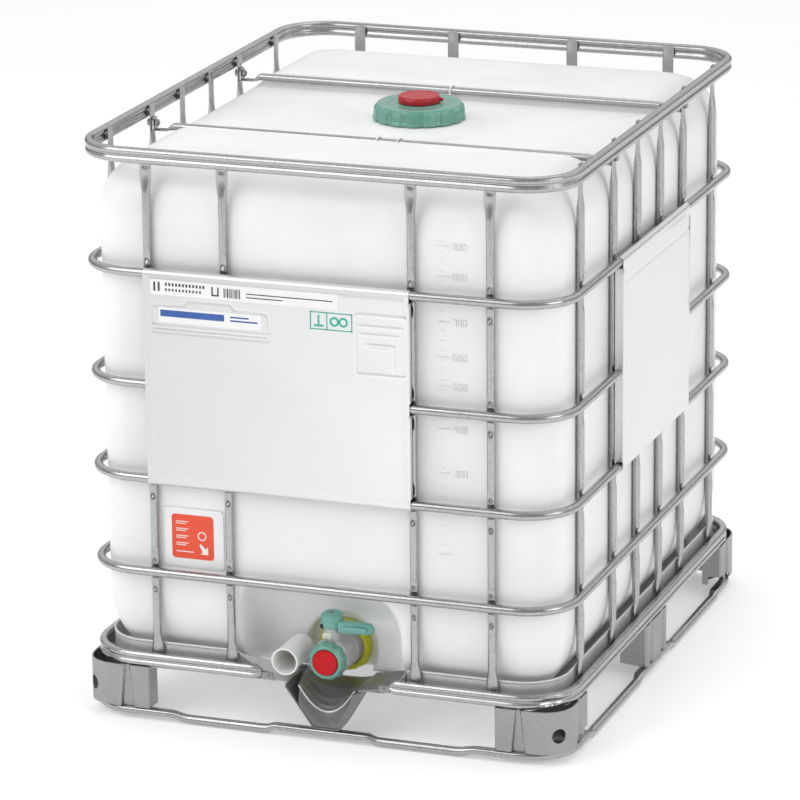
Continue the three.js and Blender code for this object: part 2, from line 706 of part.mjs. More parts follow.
function makeTrough() {
  const front = -LENGTH / 2 + FOOT_FACE;
  const back = -470;
  const shoulder = 104;
  const bend = [
    [-112, shoulder], [-70, shoulder], [-14, 25.5], [40, 25.5], [72, shoulder], [122, shoulder],
  ];
  const section = ribbon(bend, SHEET).map(([x, z]) => [x, z - SHEET + 1]);
  const dishEdge = (y, left, right, z) => [
    [left, y, z], [right, y, z], [right, y, z + SHEET], [left, y, z + SHEET],
  ];
  const dish = loft([dishEdge(front + 1, -42.5, 56.7, 62), dishEdge(back - 1, -65.3, 69.7, 94)]);
  addPiece('valve_trough', combine(prismAlongY(section, front, back), [dish]), FOOT_STEEL);
}

function makePan() {
  const wall = 2;
  const tray = roundedPrism(PAN_X, PAN_Y, 88, PAN_LOW, PAN_RIM);
  const flange = roundedPrism(PAN_X + 19, PAN_Y + 19, 98, PAN_LOW, PAN_LOW + 3.5);
  const inside = roundedPrism(PAN_X - wall, PAN_Y - wall, 86, PAN_LOW + wall, PAN_RIM + 1);
  const { left, right, back } = PAN_NOTCH;
  const notch = boxBetween([left, -LENGTH, PAN_LOW - 1], [right, back, PAN_RIM + 1]);
  addPiece('bottom_pan', combine(tray, [flange], [inside, notch]), FOOT_STEEL);
}

function makeCrossBeam() {
  const half = 432;
  const section = ribbon([[-30, 84], [-30, 105.5], [30, 105.5], [30, 84]], -SHEET);
  addPiece('pallet_cross_beam', prismAlongX(section, -half, half), FOOT_STEEL);
}

function makePallet() {
  makeRunner();
  makeCornerFoot('front_left_foot', -1, -1);
  makeCornerFoot('front_right_foot', 1, -1);
  makeCornerFoot('rear_left_foot', -1, 1);
  makeCornerFoot('rear_right_foot', 1, 1);
  const faceX = WIDTH / 2 - FOOT_FACE;
  const faceY = LENGTH / 2 - FOOT_FACE;
  makeMiddleFoot('right_middle_foot', faceX, 0);
  makeMiddleFoot('rear_middle_foot', faceY, Math.PI / 2);
  makeMiddleFoot('left_middle_foot', faceX, Math.PI);
  makeTrough();
  makePan();
  makeCrossBeam();
}

makeRings();
makeRails();
makeUprights();
makeCrossBars();
makeLabelPlates();
makeTank();
makeLid();
makeVentPlug();
makeValveBody();
makeLockRing();
makeValveDisc();
makeLever();
makeOutletCap();
makeTamperTag();
makeSpout();
makePallet();

export default container;
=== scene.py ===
import math

import bmesh
import bpy
import numpy as np
from mathutils import Matrix, Vector


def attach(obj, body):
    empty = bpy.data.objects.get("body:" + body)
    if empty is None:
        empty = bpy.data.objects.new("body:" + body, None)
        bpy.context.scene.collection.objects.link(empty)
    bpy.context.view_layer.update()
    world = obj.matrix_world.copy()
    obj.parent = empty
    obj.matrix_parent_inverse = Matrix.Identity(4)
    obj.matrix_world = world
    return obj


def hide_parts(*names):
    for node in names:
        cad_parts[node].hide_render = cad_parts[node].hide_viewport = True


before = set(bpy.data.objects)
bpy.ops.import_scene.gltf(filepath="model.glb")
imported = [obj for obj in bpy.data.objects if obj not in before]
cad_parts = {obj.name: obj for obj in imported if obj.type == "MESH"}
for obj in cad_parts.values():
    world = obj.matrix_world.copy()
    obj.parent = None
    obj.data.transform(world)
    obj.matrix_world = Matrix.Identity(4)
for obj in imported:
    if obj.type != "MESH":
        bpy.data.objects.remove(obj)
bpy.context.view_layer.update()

# Driving dimensions, in millimetres. The piece helpers turn them into metres.
MM = 0.001
BASE = "container_body"
CAGE_X, CAGE_Y, CAGE_CORNER = 489, 589, 100
CAGE_X, CAGE_Y, CAGE_CORNER = 489, 589, 100
RING_RADIUS = 9
RING_HEIGHTS = (305, 495, 685, 906)
TOP, RAIL_LOW = 1150, 1120
BASE_RAIL = (110, 138)
BASE_RAIL_ENDS = (-122, 142)
UPRIGHT_PLANE = 13
UPRIGHT_RADIUS = 8
SIDE_UPRIGHTS = (-437, -231, -76, 76, 231, 437)
FRONT_UPRIGHTS = (-345, -189, 189, 345)
REAR_UPRIGHTS = (-340, -131, 131, 340)
BAR_Y, BAR_Z, BAR_BOLT_Z = 231, 1105, 1110
PLATE_SHEET = 1.1
TANK_X, TANK_Y, TANK_CORNER = 467.5, 567.5, 66
TANK_LOW, TANK_TOP = 108.4, 1113
LOW_ROUND, HIGH_ROUND = 250, 1012
VALLEY_HALF, VALLEY_FLOOR = 243, 1088
RECESS_X, RECESS_HALF, RECESS_TOP, RECESS_BACK = -12, 165, 302, -480
LID_LOW, LID_TOP, LID_ROOF, LID_RIBS = 1102, 1133, 1127.8, 16
VALVE_X, VALVE_Z, STEM_Y = 4, 152, -534
HUB_LOW = 213
NUT_FRONT = -576
RUNNER_X, RUNNER_Y, RUNNER_CORNER = 491, 591, 90
FOOT_X, FOOT_Y = 498, 598
FOOT_TOP, FOOT_LOW = 109.6, 23.3
FOOT_SHEET = 3
TRAY_FRONT = -588
TROUGH_BEND = [(-112, 103, 0), (-70, 103, 8), (-14, 24.6, 10), (40, 24.6, 10), (72, 103, 8), (122, 103, 0)]
PAN_X, PAN_Y = 469, 569
SPOUT_X, SPOUT_Z = -77, 148


# --- Mesh helpers ---

def grid_faces(rows, columns, wrap_rows=False, wrap_columns=True):
    faces = []
    for row in range(rows if wrap_rows else rows - 1):
        below = (row + 1) % rows * columns
        for column in range(columns if wrap_columns else columns - 1):
            after = (column + 1) % columns
            faces.append((row * columns + column, row * columns + after, below + after, below + column))
    return faces


def skin(sections, wrap=False, closed_section=True):
    """A surface through a row of equal sections, each a list of points."""
    rows, columns = len(sections), len(sections[0])
    points = [tuple(p) for section in sections for p in section]
    faces = grid_faces(rows, columns, wrap, closed_section)
    if closed_section and not wrap:
        faces.append(tuple(range(columns)))
        faces.append(tuple(range((rows - 1) * columns, rows * columns)))
    return points, faces


def merge(*parts):
    points, faces = [], []
    for part_points, part_faces in parts:
        start = len(points)
        points += list(part_points)
        faces += [tuple(i + start for i in face) for face in part_faces]
    return points, faces


def moved(part, change):
    return [change(p) for p in part[0]], part[1]


def fillet(points, radius, steps=4, closed=True):
    """Rounds a polyline's corners. A point may carry its own radius as a third number."""
    result = []
    count = len(points)
    for i, point in enumerate(points):
        here = Vector(point[:2])
        r = point[2] if len(point) > 2 else radius
        to_last = Vector(points[i - 1][:2]) - here
        to_next = Vector(points[(i + 1) % count][:2]) - here
        is_end = not closed and i in (0, count - 1)
        if r == 0 or is_end or to_last.angle(to_next) > math.radians(176):
            result.append(tuple(here))
            continue
        reach = r / math.tan(to_last.angle(to_next) / 2)
        reach = min(reach, 0.48 * to_last.length, 0.48 * to_next.length)
        start = here + to_last.normalized() * reach
        end = here + to_next.normalized() * reach
        for k in range(steps + 1):
            t = k / steps
            result.append(tuple(start * (1 - t) ** 2 + here * 2 * t * (1 - t) + end * t ** 2))
    return result


def circle(radius, sides, middle=(0, 0)):
    turns = [2 * math.pi * k / sides for k in range(sides)]
    return [(middle[0] + radius * math.cos(a), middle[1] + radius * math.sin(a)) for a in turns]


def rounded_path(half_x, half_y, radius, steps=12):
    """Points of a rounded rectangle with outward normals, from the front right corner."""
    path = []
    for sign_x, sign_y, first in ((1, -1, -90), (1, 1, 0), (-1, 1, 90), (-1, -1, 180)):
        for k in range(steps + 1):
            angle = math.radians(first + 90 * k / steps)
            nx, ny = math.cos(angle), math.sin(angle)
            x = sign_x * (half_x - radius) + radius * nx
            y = sign_y * (half_y - radius) + radius * ny
            path.append((x, y, nx, ny))
    return path


def split_long(path, reach=30, closed=True):
    """Adds points on straight stretches, so that details can follow the path."""
    result = []
    last = len(path) if closed else len(path) - 1
    for i in range(last):
        a, b = path[i], path[(i + 1) % len(path)]
        count = max(1, round(math.hypot(b[0] - a[0], b[1] - a[1]) / reach))
        for k in range(count):
            result.append(tuple(a[j] + (b[j] - a[j]) * k / count for j in range(4)))
    if not closed:
        result.append(path[-1])
    return result


def along_path(path, profile_at, wrap=True):
    """Sweeps a profile of (out, z) points round a path on the ground plan."""
    sections = []
    for x, y, nx, ny in path:
        sections.append([(x + nx * out, y + ny * out, z) for out, z in profile_at(x, y)])
    return skin(sections, wrap)


def tube(points, radius, sides=16):
    """A round tube along a bent line."""
    path = [Vector(p) for p in points]
    sections = []
    side = None
    for i, p in enumerate(path):
        direction = (path[min(i + 1, len(path) - 1)] - path[max(i - 1, 0)]).normalized()
        if side is None:
            side = direction.orthogonal().normalized()
        side = (side - direction * side.dot(direction)).normalized()
        other = direction.cross(side)
        sections.append([p + side * (radius * c) + other * (radius * s) for c, s in circle(1, sides)])
    return skin(sections)


def lathe_profile(points, start=0):
    """Rounds a profile of (radius, height, own rounding), with heights counted from start."""
    return fillet([(radius, start + height, *own) for radius, height, *own in points], 1, 3)


def revolve(profile, sides=48, shape=None, closed=True):
    """Turns a profile of (radius, z) about Z. shape(angle, radius, z) may change a point's radius."""
    sections = []
    for k in range(sides):
        angle = 2 * math.pi * k / sides
        ring = []
        for radius, z in profile:
            r = shape(angle, radius, z) if shape else radius
            ring.append((r * math.cos(angle), r * math.sin(angle), z))
        sections.append(ring)
    return skin(sections, True, closed)


def slab(outline, low, high, bevel):
    """A flat plate with softened edges, from an outline on the ground plan."""
    count = len(outline)
    middle = Vector((sum(p[0] for p in outline) / count, sum(p[1] for p in outline) / count))

    def ring(inset, z):
        points = []
        for p in outline:
            away = Vector(p) - middle
            q = middle + away * (1 - inset / max(away.length, 1e-6))
            points.append((q.x, q.y, z))
        return points

    return skin([ring(bevel, low), ring(0, low + bevel), ring(0, high - bevel), ring(bevel, high)])


def box_outline(low, high, radius, steps):
    """A rounded rectangle between two opposite corners."""
    half = ((high[0] - low[0]) / 2, (high[1] - low[1]) / 2)
    middle = ((high[0] + low[0]) / 2, (high[1] + low[1]) / 2)
    path = rounded_path(*half, min(radius, *half), steps)
    return [(middle[0] + p[0], middle[1] + p[1]) for p in path]


def block(low, high, bevel=0.8):
    """A box with rounded upright edges and softened rims."""
    radius = min(bevel * 2, (high[0] - low[0]) / 2.1, (high[1] - low[1]) / 2.1)
    outline = box_outline(low, high, radius, 3)
    return slab(outline, low[2], high[2], min(bevel, (high[2] - low[2]) / 3))


def sheet_outline(points, thickness):
    """Closes a bent line into a sheet's section, with the thickness on its left."""
    left = []
    for i, p in enumerate(points):
        before = points[max(i - 1, 0)]
        after = points[min(i + 1, len(points) - 1)]
        normals = []
        for a, b in ((before, p), (p, after)):
            step = Vector((a[1] - b[1], b[0] - a[0]))
            if step.length > 1e-6:
                normals.append(step.normalized())
        mean = sum(normals, Vector((0, 0))).normalized()
        reach = thickness / max(mean.dot(normals[0]), 0.4)
        left.append((p[0] + mean.x * reach, p[1] + mean.y * reach))
    return [tuple(p[:2]) for p in points] + left[::-1]


def smooth_step(edge0, edge1, value):
    t = np.clip((value - edge0) / (edge1 - edge0), 0, 1)
    return t * t * (3 - 2 * t)


def ease(edge0, edge1, value):
    """The smooth step of one plain number."""
    return float(smooth_step(edge0, edge1, value))


def spread(low, high, count):
    return np.linspace(low, high, count).tolist()


def bell(value, middle, reach):
    """A smooth hump from 0 to 1 that is reach wide on each side."""
    t = min(abs(value - middle) / reach, 1)
    return (1 - t * t) ** 2


def link(name, data):
    obj = bpy.data.objects.new(name, data)
    bpy.context.scene.collection.objects.link(obj)
    return obj


def new_object(name, part, clean=True):
    """Makes an object of a part given in millimetres. Cutters are used as they are drawn."""
    mesh = bpy.data.meshes.new(name)
    mesh.from_pydata([(p[0] * MM, p[1] * MM, p[2] * MM) for p in part[0]], [], part[1])
    if clean:
        mesh.validate()
    tidy = bmesh.new()
    tidy.from_mesh(mesh)
    if clean:
        bmesh.ops.remove_doubles(tidy, verts=tidy.verts, dist=1e-6)
    bmesh.ops.recalc_face_normals(tidy, faces=tidy.faces)
    tidy.to_mesh(mesh)
    tidy.free()
    return link(name, mesh)


def add_piece(name, part, finish, body=BASE, replaces=(), angle=38):
    """Makes a visual piece of a part, and ties it to its CAD body."""
    material, slot = finish
    obj = new_object(name, part)
    obj.data.materials.append(material)
    shade(obj.data, angle)
    tie(obj, body, replaces)
    return obj


def shade(mesh, angle):
    mesh.polygons.foreach_set("use_smooth", [True] * len(mesh.polygons))
    mesh.set_sharp_from_angle(angle=math.radians(angle))


def tie(obj, body, replaces=()):
    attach(obj, body)
    if replaces:
        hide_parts(*replaces)


def apply_modifiers(obj):
    bpy.context.view_layer.update()
    result = bpy.data.meshes.new_from_object(obj.evaluated_get(bpy.context.evaluated_depsgraph_get()))
    obj.modifiers.clear()
    obj.data = result


def carve(obj, cutters, operation="DIFFERENCE"):
    tools = [new_object("cutter", cutter, clean=False) for cutter in cutters]
    for tool in tools:
        step = obj.modifiers.new("carve", "BOOLEAN")
        step.operation = operation
        step.object = tool
        step.solver = "EXACT"
    apply_modifiers(obj)
    for tool in tools:
        bpy.data.objects.remove(tool)


def thicken(obj, thickness, offset=0.0):
    """Gives an open sheet its thickness. An offset of 1 or -1 puts it all on one side."""
    thick = obj.modifiers.new("thickness", "SOLIDIFY")
    thick.thickness = thickness * MM
    thick.offset = offset
    apply_modifiers(obj)


def soften(obj, width):
    """Rounds a piece's sharp edges by a small radius."""
    edge = obj.modifiers.new("soft_edges", "BEVEL")
    edge.width = width * MM
    edge.segments = 2
    edge.limit_method = "ANGLE"
    edge.angle_limit = math.radians(40)
    apply_modifiers(obj)
    shade(obj.data, 45)


def add_sheet(name, rows, finish, thickness, replaces=()):
    """A piece of sheet from a grid of points, with its thickness shared by both sides."""
    obj = add_piece(name, skin(rows, closed_section=False), finish, replaces=replaces, angle=50)
    thicken(obj, thickness)
    return obj


# --- Materials ---

def new_material(name):
    material = bpy.data.materials.new(name)
    material.use_nodes = True
    tree = material.node_tree
    shader = tree.nodes["Principled BSDF"]
    return material, tree, shader


def texture(tree, kind, scale, detail=2.0):
    place = tree.nodes.new("ShaderNodeTexCoord")
    node = tree.nodes.new(kind)
    node.inputs["Scale"].default_value = scale
    if "Detail" in node.inputs:
        node.inputs["Detail"].default_value = detail
    tree.links.new(place.outputs["Object"], node.inputs["Vector"])
    return node


def ramp(tree, source, low, high, start=0.3, end=0.7):
    node = tree.nodes.new("ShaderNodeMapRange")
    node.inputs["From Min"].default_value = start
    node.inputs["From Max"].default_value = end
    node.inputs["To Min"].default_value = low
    node.inputs["To Max"].default_value = high
    tree.links.new(source, node.inputs["Value"])
    return node.outputs["Result"]


def tint(tree, source, dark, light):
    node = tree.nodes.new("ShaderNodeMix")
    node.data_type = "RGBA"
    node.inputs["A"].default_value = (*dark, 1)
    node.inputs["B"].default_value = (*light, 1)
    tree.links.new(source, node.inputs["Factor"])
    return node.outputs["Result"]


def bump(tree, shader, source, distance, strength):
    node = tree.nodes.new("ShaderNodeBump")
    node.inputs["Distance"].default_value = distance
    node.inputs["Strength"].default_value = strength
    tree.links.new(source, node.inputs["Height"])
    tree.links.new(node.outputs["Normal"], shader.inputs["Normal"])


def steel(name, slot, dark, light, rough_low, rough_high, spangle, ripple, metal=1.0):
    """Galvanised steel: crystal patches in its tone, clouds in its gloss, and a rolled ripple."""
    material, tree, shader = new_material(name)
    shader.inputs["Metallic"].default_value = metal
    patches = texture(tree, "ShaderNodeTexVoronoi", spangle)
    clouds = texture(tree, "ShaderNodeTexNoise", 14, 5)
    tone = ramp(tree, patches.outputs["Color"], 0, 1, 0, 1)
    tree.links.new(tint(tree, tone, dark, light), shader.inputs["Base Color"])
    tree.links.new(ramp(tree, clouds.outputs["Fac"], rough_low, rough_high), shader.inputs["Roughness"])
    waves = texture(tree, "ShaderNodeTexNoise", 60, 3)
    bump(tree, shader, waves.outputs["Fac"], ripple, 0.6)
    return material, slot


def plastic(name, slot, dark, light, rough_low, rough_high, gloss=0.5):
    """Moulded plastic: a slight cloud of tone, an uneven gloss and a fine moulding grain."""
    material, tree, shader = new_material(name)
    shader.inputs["Specular IOR Level"].default_value = gloss
    clouds = texture(tree, "ShaderNodeTexNoise", 25, 4)
    tone = ramp(tree, clouds.outputs["Fac"], 0, 1)
    tree.links.new(tint(tree, tone, dark, light), shader.inputs["Base Color"])
    tree.links.new(ramp(tree, clouds.outputs["Fac"], rough_low, rough_high), shader.inputs["Roughness"])
    fine = texture(tree, "ShaderNodeTexNoise", 900, 2)
    bump(tree, shader, fine.outputs["Fac"], 0.00006, 0.5)
    return material, slot


def tank_plastic():
    """Natural polyethylene: bright, a little see-through, with slow hollows in its blown wall."""
    material, tree, shader = new_material("tank_polyethylene")
    clouds = texture(tree, "ShaderNodeTexNoise", 5, 3)
    tone = ramp(tree, clouds.outputs["Fac"], 0, 1, 0.35, 0.65)
    tree.links.new(tint(tree, tone, (0.86, 0.865, 0.86), (0.93, 0.93, 0.925)), shader.inputs["Base Color"])
    tree.links.new(ramp(tree, clouds.outputs["Fac"], 0.34, 0.5), shader.inputs["Roughness"])
    shader.inputs["Subsurface Weight"].default_value = 0.25
    shader.inputs["Subsurface Radius"].default_value = (0.02, 0.02, 0.02)
    shader.inputs["Subsurface Scale"].default_value = 0.5
    slow = texture(tree, "ShaderNodeTexNoise", 9, 2)
    bump(tree, shader, slow.outputs["Fac"], 0.004, 0.25)
    return material, "tank_plastic"


def plate_steel():
    """Bright rolled sheet, with slow clouds in its tone and gloss, and painted shade that darkens its base
    colour towards its left.
    """
    material, tree, shader = new_material("label_plate_steel_painted_shade")
    shader.inputs["Metallic"].default_value = 0.85
    slow = texture(tree, "ShaderNodeTexNoise", 2.2, 1)
    place = tree.nodes.new("ShaderNodeTexCoord")
    split = tree.nodes.new("ShaderNodeSeparateXYZ")
    tree.links.new(place.outputs["Object"], split.inputs["Vector"])
    add = tree.nodes.new("ShaderNodeMath")
    add.operation = "ADD"
    # Painted shade: the base colour is darker towards the plate's left, along X.
    tree.links.new(ramp(tree, split.outputs["X"], 0, 0.8, -0.35, 0.19), add.inputs[0])
    tree.links.new(ramp(tree, slow.outputs["Fac"], 0, 0.3), add.inputs[1])
    tree.links.new(tint(tree, add.outputs["Value"], (0.62, 0.62, 0.625), (0.80, 0.80, 0.805)),
                   shader.inputs["Base Color"])
    tree.links.new(ramp(tree, slow.outputs["Fac"], 0.3, 0.4), shader.inputs["Roughness"])
    fine = texture(tree, "ShaderNodeTexNoise", 45, 3)
    bump(tree, shader, fine.outputs["Fac"], 0.0001, 0.5)
    return material, "plate_steel"


def greys(dark, light, blue):
    """Two grey tones with a slight blue in them."""
    return (dark, dark, dark + blue), (light, light, light + blue)


# Every finish is a material and the slot name of the CAD nodes that wear it.
PALLET = "pallet_steel"
TUBE = steel("tube_steel", "steel_tube", *greys(0.34, 0.44, 0.01), 0.2, 0.3, 160, 0.0001)
SHEET = steel("pallet_sheet_steel", PALLET, *greys(0.33, 0.38, 0.005), 0.36, 0.48, 220, 0.00015)
# Painted shade: a darker copy of the pallet steel, for the drip channel, its front sheet and the feet's inner
# sheets.
TROUGH_PAINTED_SHADE = steel("trough_steel_painted_shade", PALLET, *greys(0.15, 0.21, 0.005), 0.3, 0.42, 200, 0.00025, 0.6)
# Painted shade: a darker copy of the pallet steel, for the drip tray's dish and the right sill.
SILL_PAINTED_SHADE = steel("tray_steel_painted_shade", PALLET, *greys(0.24, 0.32, 0.005), 0.26, 0.38, 160, 0.0002, 0.6)
# Painted light: a lighter copy of the pallet steel, for the pan, its floor sheet, the left sill and the drip
# tray's rim.
PAN_PAINTED_LIGHT = steel("pan_steel_painted_light", PALLET, *greys(0.62, 0.70, 0.005), 0.32, 0.44, 140, 0.0002, 0.45)
DARK = steel("fastener_steel", "dark_steel", *greys(0.22, 0.34, 0.01), 0.3, 0.45, 400, 0.0001)
TANK = tank_plastic()
PLATE = plate_steel()
WHITE = plastic("white_plastic", "tank_plastic", (0.82, 0.82, 0.81), (0.90, 0.90, 0.89), 0.32, 0.45)
GREEN = plastic("green_plastic", "green_plastic", (0.115, 0.325, 0.255), (0.155, 0.39, 0.315),
                0.26, 0.36, 0.9)
LEVER = plastic("lever_green_plastic", "green_plastic", (0.15, 0.40, 0.34), (0.19, 0.46, 0.40), 0.34, 0.46)
RED = plastic("red_plastic", "red_plastic", (0.44, 0.010, 0.018), (0.52, 0.014, 0.024), 0.34, 0.46)
DEEP_RED = plastic("outlet_red_plastic", "red_plastic", (0.54, 0.010, 0.014), (0.62, 0.013, 0.018),
                   0.5, 0.62, 0.2)
GREY = plastic("valve_grey_plastic", "grey_plastic", (0.50, 0.50, 0.51), (0.60, 0.595, 0.60), 0.35, 0.5)
LIME = plastic("lime_plastic", "lime_plastic", (0.60, 0.61, 0.015), (0.72, 0.73, 0.03), 0.35, 0.5)
CREAM = plastic("cream_plastic", "cream_plastic", (0.70, 0.72, 0.60), (0.80, 0.82, 0.70), 0.4, 0.55)
RUBBER = plastic("seal_rubber", "rubber", (0.02, 0.02, 0.02), (0.035, 0.035, 0.035), 0.7, 0.85)
PAPER = plastic("label_paper", "tank_plastic", (0.86, 0.86, 0.86), (0.92, 0.92, 0.92), 0.4, 0.55)
LABEL_RED = plastic("label_red", "tank_plastic", (0.80, 0.075, 0.025), (0.86, 0.09, 0.035), 0.4, 0.5)
LABEL_BLUE = plastic("label_blue", "tank_plastic", (0.03, 0.10, 0.36), (0.04, 0.13, 0.42), 0.4, 0.5)
LABEL_GREEN = plastic("label_green", "tank_plastic", (0.04, 0.42, 0.32), (0.05, 0.48, 0.37), 0.4, 0.5)
LABEL_INK = plastic("label_ink", "tank_plastic", (0.03, 0.03, 0.035), (0.06, 0.06, 0.065), 0.45, 0.6)


# --- Cage ---

def make_rings():
    """The round rings. The CAD numbers them from the top down."""
    path = rounded_path(CAGE_X, CAGE_Y, CAGE_CORNER, 16)
    for k, z in enumerate(RING_HEIGHTS):
        profile = circle(RING_RADIUS, 24, (0, z))
        part = along_path(path, lambda x, y: profile)
        number = len(RING_HEIGHTS) - k
        add_piece(f"round_ring_{number}", part, TUBE, replaces=[f"cage_ring_{number}"])


def bead_profile(low, high):
    stretch = (high - low) / 30
    half = [(4.5, 0, 4), (9, 5.5, 5), (8.2, 11, 3), (5.6, 14, 3), (6.2, 17.5, 3), (8.4, 21, 3),
            (8.2, 26.5, 3), (4.5, 30, 3)]
    outer = [(out, high - drop * stretch, r) for out, drop, r in half]
    inner = [(-out, z, r) for out, z, r in outer][::-1]
    return fillet(outer + inner, 2, 3)


def corner_press(x, y, strength):
    """How far a rail's wall is pressed in where its corner was swaged."""
    near = min(abs(x) - (CAGE_X - CAGE_CORNER), abs(y) - (CAGE_Y - CAGE_CORNER))
    if near <= 0:
        return 0.0
    angle = math.atan2(abs(y) - (CAGE_Y - CAGE_CORNER), abs(x) - (CAGE_X - CAGE_CORNER))
    return strength * max(0.0, math.sin(angle * 9)) * math.sin(min(angle * 2, math.pi))


def make_rails():
    ring = rounded_path(CAGE_X, CAGE_Y, CAGE_CORNER, 24)
    top = bead_profile(RAIL_LOW, TOP)
    part = along_path(split_long(ring, 60), lambda x, y: top)
    add_piece("double_bead_top_rail", part, TUBE, replaces=["top_rail"])

    base = bead_profile(*BASE_RAIL)
    middle = sum(BASE_RAIL) / 2
    left_end, right_end = [(x, -CAGE_Y, 0, -1) for x in BASE_RAIL_ENDS]

    def profile(x, y):
        press = corner_press(x, y, 3.2)
        on_front = y < -CAGE_Y + 1
        distance = min(abs(x - end) for end in BASE_RAIL_ENDS) if on_front else CAGE_X
        flat = 0.5 + 0.5 * ease(0, 9, distance)
        points = []
        for out, z in base:
            inside = press if abs(z - middle) < 9 and out > 0 else 0
            points.append(((out - inside) * flat, middle + (z - middle) * flat))
        return points

    open_path = split_long([right_end] + ring + [left_end], 12, closed=False)
    part = along_path(open_path, profile, wrap=False)
    add_piece("double_bead_base_rail", part, TUBE, replaces=["base_rail"])
    make_rail_tabs()


def make_rail_tabs():
    """The squashed ends of the base rail, each with a rivet."""
    rivet = revolve(fillet([(0.1, 0), (4, 0, 0.8), (4, 2.4, 1.4), (0.1, 3.2)], 0.5, 3), 24, closed=False)
    parts = []
    for x, inwards in zip(BASE_RAIL_ENDS, (1, -1)):
        low, high = sorted((x - 2 * inwards, x + 24 * inwards))
        parts.append(block((low, -CAGE_Y - 2.5, 111), (high, -CAGE_Y + 2, 125), 1.6))
        middle = x + 13 * inwards
        parts.append(moved(rivet, lambda p, c=middle: (c + p[0], -CAGE_Y - 2 - p[2], 118 + p[1])))
    add_piece("base_rail_end_tabs", merge(*parts), DARK)


def upright_section(z, sides=20):
    """Across and along points of a cage tube at one height: round, with pressed ends and welds."""
    spoon = max(ease(1052, 1098, z), ease(186, 140, z))
    half = UPRIGHT_RADIUS + 4 * spoon
    front = UPRIGHT_RADIUS - (UPRIGHT_RADIUS - 3.0) * spoon
    back = UPRIGHT_RADIUS - (UPRIGHT_RADIUS - 2.7) * spoon
    dent = 0.0
    for ring in RING_HEIGHTS:
        away = abs(z - ring)
        crushed = 1 - ease(9, 16, away)
        front = min(front, UPRIGHT_RADIUS - 5.0 * crushed)
        half += 1.4 * crushed
        dent = max(dent, 5.2 * bell(away, 29, 17))
    weld = 2.4 * max(bell(z, 1114, 8), bell(z, 128, 12))
    points = []
    for k in range(sides):
        angle = 2 * math.pi * k / sides
        along = half * math.cos(angle)
        across = (front if math.sin(angle) > 0 else back) * math.sin(angle)
        if math.sin(angle) > 0:
            across -= dent * math.exp(-(along / 4.4) ** 2) + weld * math.exp(-(along / 4.5) ** 2)
            across = max(across, -back + 1)
        points.append((along, across))
    return points


def upright_heights():
    """Heights of a tube's sections, close together at its ends and at each ring."""
    heights = set(range(112, 180, 4)) | set(range(1060, 1147, 3)) | {1146}
    for ring in RING_HEIGHTS:
        heights |= set(range(ring - 48, ring + 49, 3))
    return sorted(heights)


def make_uprights():
    """Equal tubes that share one mesh, drawn at the origin with its outer side towards -Y."""
    part = skin([[(a, -c, z) for a, c in upright_section(z)] for z in upright_heights()])
    plane_x, plane_y = CAGE_X - UPRIGHT_PLANE, CAGE_Y - UPRIGHT_PLANE
    places = [(f"front_upright_{k}", x, -plane_y, 0) for k, x in enumerate(FRONT_UPRIGHTS, 1)]
    places += [(f"rear_upright_{k}", x, plane_y, 180) for k, x in enumerate(REAR_UPRIGHTS, 1)]
    places += [(f"left_upright_{k}", -plane_x, y, -90) for k, y in enumerate(SIDE_UPRIGHTS, 1)]
    places += [(f"right_upright_{k}", plane_x, y, 90) for k, y in enumerate(SIDE_UPRIGHTS, 1)]
    shared = None
    for node, x, y, turn in places:
        if shared is None:
            obj = add_piece(f"pressed_{node}", part, TUBE, angle=50)
            shared = obj.data
        else:
            obj = link(f"pressed_{node}", shared)
        obj.parent = None
        obj.matrix_world = (Matrix.Translation((x * MM, y * MM, 0))
                            @ Matrix.Rotation(math.radians(turn), 4, "Z"))
        tie(obj, BASE, [node])


def make_cross_bar(name, node, y):
    """A tube with ends pressed flat into tabs that turn up against the uprights."""
    inner = CAGE_X - UPRIGHT_PLANE - 3.2
    sections = []
    for x in spread(-inner, -420, 22) + spread(-300, 300, 5) + spread(420, inner, 22):
        flat = ease(426, 448, abs(x))
        half, tall = 7.5 + 3.5 * flat, 7.5 - 5.3 * flat
        z = BAR_Z - 8.5 * flat
        sections.append([(x, y + half * c, z + tall * s) for c, s in circle(1, 20)])
    tabs = []
    outline = fillet([(-10, BAR_Z - 10.5), (10, BAR_Z - 10.5), (10, 1122, 6), (-10, 1122, 6)], 2, 5)
    for sign in (-1, 1):
        tabs.append(skin([[(sign * x, y + a, b) for a, b in outline] for x in (inner, inner - 3.6)]))
    add_piece(name, merge(skin(sections), *tabs), TUBE, replaces=[node])


def make_bar_bolt(name, node, sign, y):
    """A bolt along X, with its washer and head outside the upright and its nut inside."""
    outside = CAGE_X - UPRIGHT_PLANE + 3.4
    inside = CAGE_X - UPRIGHT_PLANE - 7.6

    def lathe_x(profile):
        return moved(revolve(profile, 24), lambda p: (sign * p[2], y + p[0], BAR_BOLT_Z + p[1]))

    def hexagon(low, high):
        radius, chamfer = 7.5, 0.6
        turns = [math.radians(60 * k + 30) for k in range(6)]
        small = radius - chamfer
        rows = []
        for r, x in ((small, low), (radius, low + chamfer), (radius, high - chamfer), (small, high)):
            rows.append([(sign * x, y + r * math.cos(a), BAR_BOLT_Z + r * math.sin(a)) for a in turns])
        return skin(rows)

    washer = lathe_x([(4.2, outside), (8.6, outside), (8.6, outside + 1.2), (4.2, outside + 1.2)])
    shank = lathe_x([(0.1, inside - 8), (3.6, inside - 8), (4, inside - 7), (4, outside + 1),
                     (0.1, outside + 1)])
    part = merge(washer, shank, hexagon(outside + 1.2, outside + 5.4), hexagon(inside - 6, inside))
    add_piece(name, part, DARK, replaces=[node])


